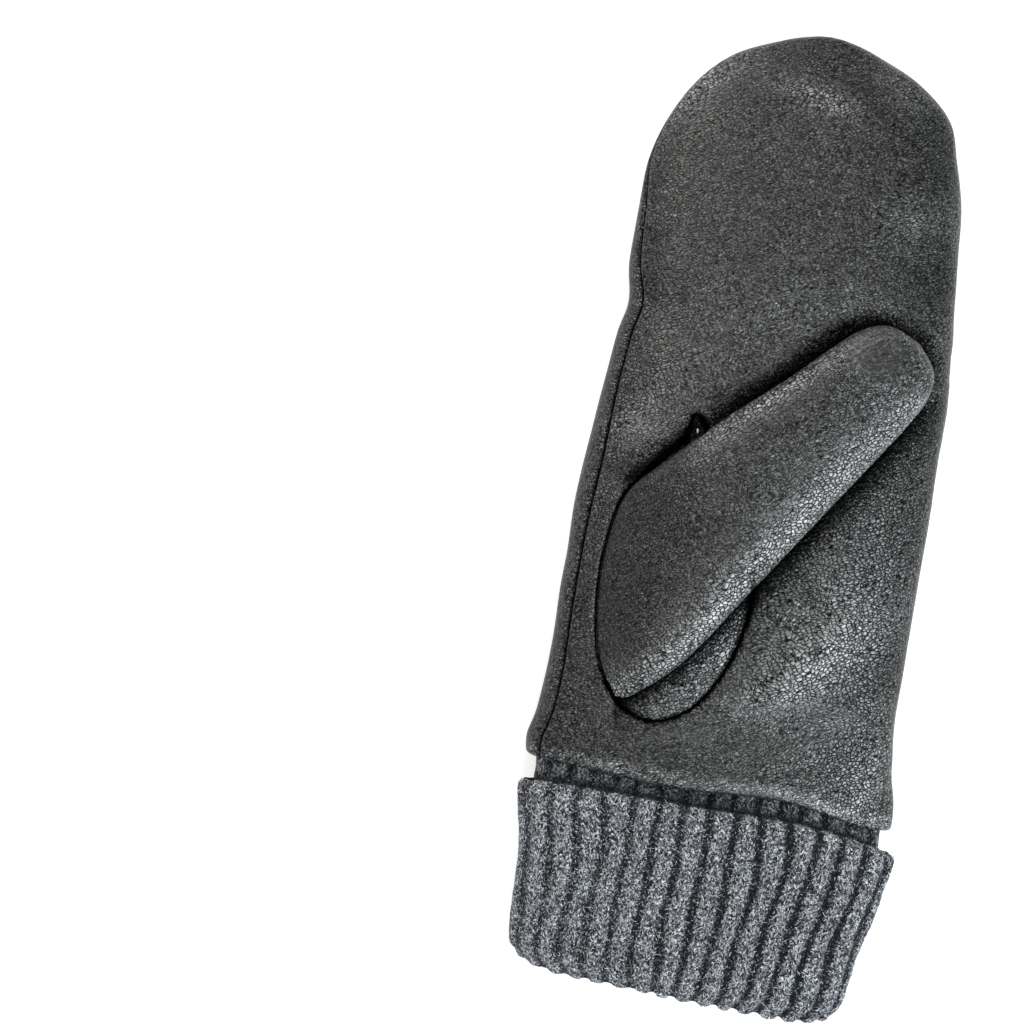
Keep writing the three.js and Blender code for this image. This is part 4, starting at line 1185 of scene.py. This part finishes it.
def thumb_base():
    """Low base that fills the thumb's hole

    Rings lead from the hole's middle to its rim, closer together there, with a height that falls by the cube of
    the way out, and the same rings return below. Gives points, quads and values.
    """
    in_middle, near_rim = BASE_RINGS
    ways = np.concatenate([np.linspace(0, 0.86, in_middle)[:-1], 1 - 0.14 * np.linspace(1, 0, near_rim) ** 1.8])
    step = np.roll(RIM, -1, 0) - np.roll(RIM, 1, 0)
    step /= np.linalg.norm(step, axis=1, keepdims=True)
    rim = (RIM + np.stack([-step[:, 1], step[:, 0]], 1) * SEAM_GAP * 1.2)[::2]
    flat = HOLE_CENTRE + (rim - HOLE_CENTRE) * ways[:, None, None]
    x, y = flat[..., 0], flat[..., 1]
    to_rim = (1 - ways[:, None]) * np.linalg.norm(rim - HOLE_CENTRE, axis=1)
    slit = bell_along(x, y, *SLIT, SLIT_WIDTH)
    height = BASE_SWELL * (1 - ways[:, None] ** 3) - RIM_DIP * bell(to_rim, RIM_DIP_WIDTH) - SLIT_DEPTH * slit
    top = np.stack([x, y, palm_height(x, y) + height], -1)
    bottom = np.stack([x, y, palm_height(x, y) - LEATHER - SLIT_DEPTH * slit], -1)
    rings, to_rim, slit = (np.concatenate([over, under[::-1]]) for over, under in (
        (top, bottom), (to_rim, to_rim), (slit, slit)))
    quads = grid_quads(*rings.shape[:2], wraps=True).reshape(-1, 4)
    x, y = rings[..., 0], rings[..., 1]
    beside, _, _ = outline_distance(THUMB_EDGE, x, y)
    lower = smoothstep(leant(x, y)[1], 0, 6)
    # Painted shade: a dark line at the rim, painted shade in the slit and in the tuck's notch, and painted shadow
    # beside the thumb's lower side
    shade = [
        bell(to_rim, RIM_SHADE),
        0.9 * slit,
        0.9 * smoothstep(y, 12, 18),
        0.99 * lower * bell(np.minimum(beside, 0), 4.2),
    ]
    # The base's painted sheen is the same all over
    values = {
        "slack": np.full(x.shape, 0.8),
        "painted_sheen": np.full(x.shape, 0.6),
        "pleats": 0.4 * bell(to_rim, 1.8),
        "run": np.broadcast_to(np.arange(0, len(RIM), 2) * RIM_LENGTH / len(RIM), x.shape),
        "shade": np.max(shade, axis=0),
    }
    return rings.reshape(-1, 3), quads, values


class MakeThumb(bpy.types.Operator):
    """Thumb folded over the palm, with the low base that fills its hole"""

    bl_idname = "mitten.thumb"
    bl_label = "Thumb"

    def execute(self, context):
        last = len(THUMB) - 1
        start_rows, body_rows, tip_rows = THUMB_ROWS
        start = np.linspace(0, 1, start_rows, endpoint=False)
        body = np.linspace(1, last - 2, body_rows, endpoint=False)
        places = np.concatenate([start, body, last - 2 + 2 * np.sin(np.linspace(0, np.pi / 2, tip_rows))])
        shares = (1 - np.cos(np.linspace(0, np.pi, THUMB_COLUMNS))) / 2
        top, under = thumb_shape(places, shares)
        calm = np.sqrt(np.clip(4 * shares * (1 - shares), 0, 1))[None, :] * smoothstep(places, 1, 3)[:, None]
        calm = calm * (1 - smoothstep(places, last - 1.5, last))[:, None]
        top[..., 2] += swelling(top, THUMB_FORMS, THUMB_WAVES, THUMB_SEED) * calm
        ring = np.concatenate([top, under], 1)
        quads = grid_quads(*ring.shape[:2], wraps=True).reshape(-1, 4)
        share = np.concatenate([shares, shares[-2:0:-1]])[None, :]
        place = np.broadcast_to(places[:, None], ring.shape[:2])

        # Distances to the two folded sides and to the hole's rim, and where the tip and the part over the palm are
        _, upper, lower = between(THUMB, places)[:, :3].T
        width = (lower - upper)[:, None]
        to_lower, to_upper = (1 - share) * width, share * width
        inset, _, run = outline_distance(RIM, ring[..., 0], ring[..., 1])
        set_in = 1 - smoothstep(place, 5.2, 6.2)
        at_rim = bell(inset, 1.7) * set_in
        along, _ = leant(ring[..., 0], ring[..., 1])
        tip = smoothstep(place, last - 3.9, last - 2.3) * smoothstep(to_lower, 4, 11)
        tip = np.maximum(tip, smoothstep(place, last - 2.4, last - 1.6))
        folded = smoothstep(place, 5.5, 7) * (1 - 0.6 * tip)

        # Painted sheen: a broad band along the lower fold, a thin one along the upper side, and the tip
        painted_sheen = 0.22 + 0.5 * tip + 1.25 * bell(to_lower, 9.0) * (1 - 0.7 * tip)
        values = {
            "slack": 0.2 + 0.8 * bell(to_lower, 12) + 0.8 * bell(to_upper, 6) * folded - tip,
            "painted_sheen": painted_sheen + 0.65 * bell(to_upper - 2, 3.5) * folded,
            "pleats": at_rim * 0.4 + 0.35 * tip * bell(to_upper, 4),
            "run": np.where(at_rim > 0.2, run, along),
            "shade": bell(inset, SEAM_SHADE) * set_in,
        }
        base_points, base_quads, base_values = thumb_base()
        points = np.concatenate([ring.reshape(-1, 3), base_points])
        quads = np.concatenate([quads, base_quads + ring.shape[0] * ring.shape[1]])
        joined = {name: np.concatenate([value.ravel(), base_values[name].ravel()]) for name, value in values.items()}
        piece = make_mesh("thumb_leather", points, quads, joined)
        look = context.scene.mitten_leather
        finish_piece(piece, leather_material("thumb_leather", look, turn=-38), ["thumb"])
        return {"FINISHED"}


def cuff_surface(look):
    """Grid of the knitted wall with its ribs, its normals, and the counts of ribs and stitches at its points

    Ribs are pushed out along the normals of the plain wall, and wander a little from side to side.
    """
    rows = cuff_rows()
    places = np.concatenate([[0]] + [k + np.arange(1, n + 1) / n for k, n in enumerate(CUFF_STEPS)])[:-1]
    section = between(np.concatenate([rows, rows[:1]]), places)
    count = look.ribs * POINTS_PER_RIB
    flat = superellipse(section[:, :5], count)
    left, right = section[:, 0:1], section[:, 1:2]
    across = (2 * flat[..., 0] - left - right) / (right - left)
    corner = np.abs(np.clip(across, -1, 1))
    drop = np.where(across < 0, 0.15 * corner ** (2 * UPPER_ROUNDNESS), corner**UPPER_ROUNDNESS)
    y = section[:, 5:6] + section[:, 6:7] * (corner**FOLD_ROUNDNESS + FOLD_SLOPE * across) + section[:, 7:8] * drop
    points = np.stack([flat[..., 0], y, flat[..., 1]], -1)
    normal = grid_normals(points, wraps=True)
    crown = count // 4
    if normal[CUFF_ENDS[OUTSIDE], crown, 2] < 0:
        normal = -normal
    walked = np.cumsum(np.linalg.norm(np.diff(points[:, crown], axis=0, prepend=points[:1, crown]), axis=1))
    course = (walked / look.course)[:, None]
    rib = np.arange(count + 1) / POINTS_PER_RIB
    turn = 2 * np.pi * rib / look.ribs
    rib = rib + 0.07 * np.sin(course / 7 + 4 * turn) + 0.05 * np.sin(course / 3.1 + 9 * turn)
    relief = knit_relief(rib[:, :-1], course, places[:, None], look)
    points = points + normal * relief[..., None]
    points[..., 2] = np.maximum(points[..., 2], 0)
    return points, normal, rib, np.broadcast_to(course, rib.shape)


def rib_grooves(rib, look):
    """Nearly one in the grooves between ribs, nought on the ribs"""
    strength = 0.84 + 0.16 * np.cos(2 * np.pi * rib / look.ribs - 0.4)
    return strength * smoothstep(-np.cos(2 * np.pi * rib), 0.12, 0.95)


def inner_shade(points):
    """Painted shade on the part of the wall that lies inside the turned-up part, darkest along that part's edge"""
    edge = CUFF_ENDS[UPPER_EDGE]
    inside = np.arange(len(points))[:, None] > edge
    return np.where(inside, 0.48 + 0.49 * bell(points[..., 1] - points[edge][:, 1], 2.4), 0.0)


class MakeCuff(bpy.types.Operator):
    """Knitted cuff, ribbed and turned up over itself"""

    bl_idname = "mitten.cuff"
    bl_label = "Knitted cuff"

    def execute(self, context):
        look = context.scene.mitten_knit
        points, _, rib, course = cuff_surface(look)
        rows, columns = points.shape[:2]
        quads = grid_quads(rows + 1, columns, wraps=True).reshape(-1, 4) % (rows * columns)
        stitch = np.stack([rib * STITCHES_PER_RIB, course], -1)
        stitch = np.concatenate([stitch, stitch[-1:] + (0, 1)])
        corners = [stitch[:-1, :-1], stitch[:-1, 1:], stitch[1:, 1:], stitch[1:, :-1]]
        uv = np.stack(corners, 2).reshape(-1, 4, 2)
        # Painted shade in the grooves and inside the turned-up part
        values = {"groove_shade": rib_grooves(rib[:, :-1], look), "shade": inner_shade(points)}
        piece = make_mesh("knit_cuff_wool", points.reshape(-1, 3), quads, values, uv)
        finish_piece(piece, knit_material(look), ["knit_cuff"])
        return {"FINISHED"}


def hair_shape(starts, ways, ups, lengths, radius, random):
    """Hairs as thin three-sided spindles along short arcs, pointed at both ends

    Each runs along its way, rises by a half sine over the wool and bends aside by a square.
    """
    count = len(starts)
    sides = np.cross(ways, ups)
    sides /= np.maximum(np.linalg.norm(sides, axis=1, keepdims=True), 1e-9)
    share = np.array([0.0, 0.33, 0.7, 1.0])[None, :, None]
    bend = random.normal(0, 0.16, (count, 1, 1))
    lift = random.uniform(0.04, 0.24, (count, 1, 1)) ** 1.3
    path = starts[:, None] + ways[:, None] * lengths[:, None, None] * share
    path = path + sides[:, None] * lengths[:, None, None] * bend * share**2
    path = path + ups[:, None] * (lengths[:, None, None] * lift * np.sin(np.pi * share * 0.8) - 0.05)
    angle = 2 * np.pi * np.arange(3) / 3
    round_about = np.cos(angle)[:, None] * sides[:, None, None, :] + np.sin(angle)[:, None] * ups[:, None, None, :]
    rings = path[:, 1:3, None, :] + round_about * radius[:, None, None, None]
    points = np.concatenate([path[:, :1], rings.reshape(count, 6, 3), path[:, 3:]], 1)
    first = np.array([(0, 1 + (k + 1) % 3, 1 + k, 1 + k) for k in range(3)])
    middle = np.array([(1 + k, 1 + (k + 1) % 3, 4 + (k + 1) % 3, 4 + k) for k in range(3)])
    end = np.array([(7, 4 + k, 4 + (k + 1) % 3, 4 + (k + 1) % 3) for k in range(3)])
    faces = np.concatenate([first, middle, end])
    quads = (faces[None] + HAIR_POINTS * np.arange(count)[:, None, None]).reshape(-1, 4)
    return points.reshape(-1, 3), quads


class MakeHairs(bpy.types.Operator):
    """Loose wool hairs that stand off the cuff, in a pale and a dark layer"""

    bl_idname = "mitten.hairs"
    bl_label = "Wool hairs"

    def execute(self, context):
        look = context.scene.mitten_knit
        points, normal, rib, _ = cuff_surface(look)
        ends = CUFF_ENDS
        shown = np.r_[ends[FOLD]:ends[UPPER_EDGE], ends[TUBE_FROM]:ends[TUBE_TO]]
        spacing = np.linalg.norm(np.roll(points, -1, 0) - points, axis=-1)[shown]
        bare = np.maximum(0.8 * rib_grooves(rib[shown, :-1], look), 1.4 * inner_shade(points)[shown])
        chance = (spacing * np.clip(1 - bare, 0.05, 1)).ravel()
        chance /= chance.sum()
        material = fibre_material(look)
        for name, seed, low, high in HAIR_LAYERS:
            random = np.random.default_rng(seed)
            picked = random.choice(chance.size, look.hairs, p=chance)
            row, column = shown[picked // spacing.shape[1]], picked % spacing.shape[1]
            up = normal[row, column]
            spread = random.normal(size=(look.hairs, 3))
            way = spread - up * np.sum(spread * up, axis=1, keepdims=True)
            way /= np.linalg.norm(way, axis=1, keepdims=True)
            start = points[row, column] + way * random.uniform(-0.4, 0.4, (look.hairs, 1))
            length = look.hair_length * random.lognormal(-0.1, 0.35, look.hairs)
            radius = random.uniform(0.045, 0.085, look.hairs)
            strands, quads = hair_shape(start, way, up, length, radius, random)
            strands[:, 2] = np.maximum(strands[:, 2], 0.02)
            tone = np.repeat(random.uniform(low, high, look.hairs), HAIR_POINTS)
            piece = make_mesh(name, strands, quads, {"tone": tone})
            finish_piece(piece, material)
        return {"FINISHED"}


class MakeTuckThread(bpy.types.Operator):
    """Pale thread that closes the tuck at the top of the thumb hole"""

    bl_idname = "mitten.thread"
    bl_label = "Tuck thread"

    def execute(self, context):
        around, along = THREAD_MESH
        turn = 2 * np.pi * np.arange(around) / around
        share = np.linspace(0, 1, along)[:, None]
        x, y = (start + run * share[:, 0] for start, run in zip(THREAD_START, THREAD_RUN))
        z = palm_height(x, y) + BASE_SWELL * 0.4 + THREAD_ARCH * np.sin(np.pi * share[:, 0])
        path = np.stack([x, y, z], -1)
        radius = THREAD_RADIUS * np.sqrt(np.clip(1 - (2 * share - 1) ** 8, 0, 1))
        radius = radius * (1 + 0.12 * np.sin(14 * np.pi * share + turn))
        up = np.array([0.0, 0.0, 1.0])
        ring = np.cos(turn)[None, :, None] * np.array(THREAD_SIDE) + np.sin(turn)[None, :, None] * up
        points = path[:, None] + ring * radius[..., None]
        quads = grid_quads(along, around, wraps=True).reshape(-1, 4)
        piece = make_mesh("tuck_thread", points.reshape(-1, 3), quads, {"tone": np.full(along * around, 0.6)})
        finish_piece(piece, fibre_material(context.scene.mitten_knit))
        return {"FINISHED"}


class SetStage(bpy.types.Operator):
    """Pale table, soft studio lamps and a camera that looks straight down"""

    bl_idname = "mitten.stage"
    bl_label = "Stage"

    def execute(self, context):
        look = context.scene.mitten_stage
        scene = context.scene
        mesh = bpy.data.meshes.new("table")
        corners = [(x * TABLE_HALF, y * TABLE_HALF, -TABLE_DROP) for x, y in ((-1, -1), (1, -1), (1, 1), (-1, 1))]
        mesh.from_pydata(corners, [], [(0, 1, 2, 3)])
        table = bpy.data.objects.new("table", mesh)
        table.data.materials.append(table_material(look))
        scene.collection.objects.link(table)
        world = bpy.data.worlds.new("studio")
        world.use_nodes = True
        background = world.node_tree.nodes["Background"]
        background.inputs["Color"].default_value = (0.97, 0.985, 1.0, 1.0)
        background.inputs["Strength"].default_value = look.ambient
        scene.world = world
        for name, place, size, share, colour in LAMPS:
            light = bpy.data.lights.new(name, "AREA")
            light.shape, light.size = "SQUARE", size
            light.energy, light.color = look.lamp * share, colour
            lamp = bpy.data.objects.new(name, light)
            lamp.location = place
            x, y, z = place
            lamp.rotation_euler = (math.atan2(math.hypot(x, y), z), 0.0, math.atan2(x, -y))
            lamp.visible_camera = False
            scene.collection.objects.link(lamp)
        camera = bpy.data.cameras.new("camera")
        camera.lens, camera.sensor_width = look.lens, SENSOR
        camera.clip_start, camera.clip_end = 0.05, 20.0
        seen = bpy.data.objects.new("camera", camera)
        x, y, z = VIEW_CENTRE
        seen.location = (x, y, VIEW_WIDTH * look.lens / SENSOR + z)
        seen.rotation_euler = (0.0, 0.0, VIEW_TURN)
        scene.collection.objects.link(seen)
        scene.camera = seen
        scene.view_settings.view_transform = "Standard"
        return {"FINISHED"}


class MittenPanel(bpy.types.Panel):
    """Lists the pieces of the mitten and their settings"""

    bl_idname = "MITTEN_PT_pieces"
    bl_label = "Leather Mitten"
    bl_space_type = "VIEW_3D"
    bl_region_type = "UI"
    bl_category = "Mitten"

    def draw(self, context):
        for title, group in (("Leather", "mitten_leather"), ("Knit", "mitten_knit"), ("Stage", "mitten_stage")):
            box = self.layout.box()
            box.label(text=title)
            settings = getattr(context.scene, group)
            for name in type(settings).__annotations__:
                box.prop(settings, name)
        for operator in PIECES:
            self.layout.operator(operator.bl_idname)


LOOKS = (("mitten_leather", LeatherLook), ("mitten_knit", KnitLook), ("mitten_stage", StageLook))
PIECES = (MakePalm, MakeBack, MakeThumb, MakeCuff, MakeHairs, MakeTuckThread, SetStage)


def register():
    for name, look in LOOKS:
        bpy.utils.register_class(look)
        setattr(bpy.types.Scene, name, PointerProperty(type=look))
    for operator in PIECES:
        bpy.utils.register_class(operator)
    bpy.utils.register_class(MittenPanel)


def unregister():
    bpy.utils.unregister_class(MittenPanel)
    for operator in reversed(PIECES):
        bpy.utils.unregister_class(operator)
    for name, look in reversed(LOOKS):
        delattr(bpy.types.Scene, name)
        bpy.utils.unregister_class(look)


def main():
    register()
    bpy.ops.mitten.palm()
    bpy.ops.mitten.back()
    bpy.ops.mitten.thumb()
    bpy.ops.mitten.cuff()
    bpy.ops.mitten.hairs()
    bpy.ops.mitten.thread()
    bpy.ops.mitten.stage()


if __name__ == "__main__":
    main()
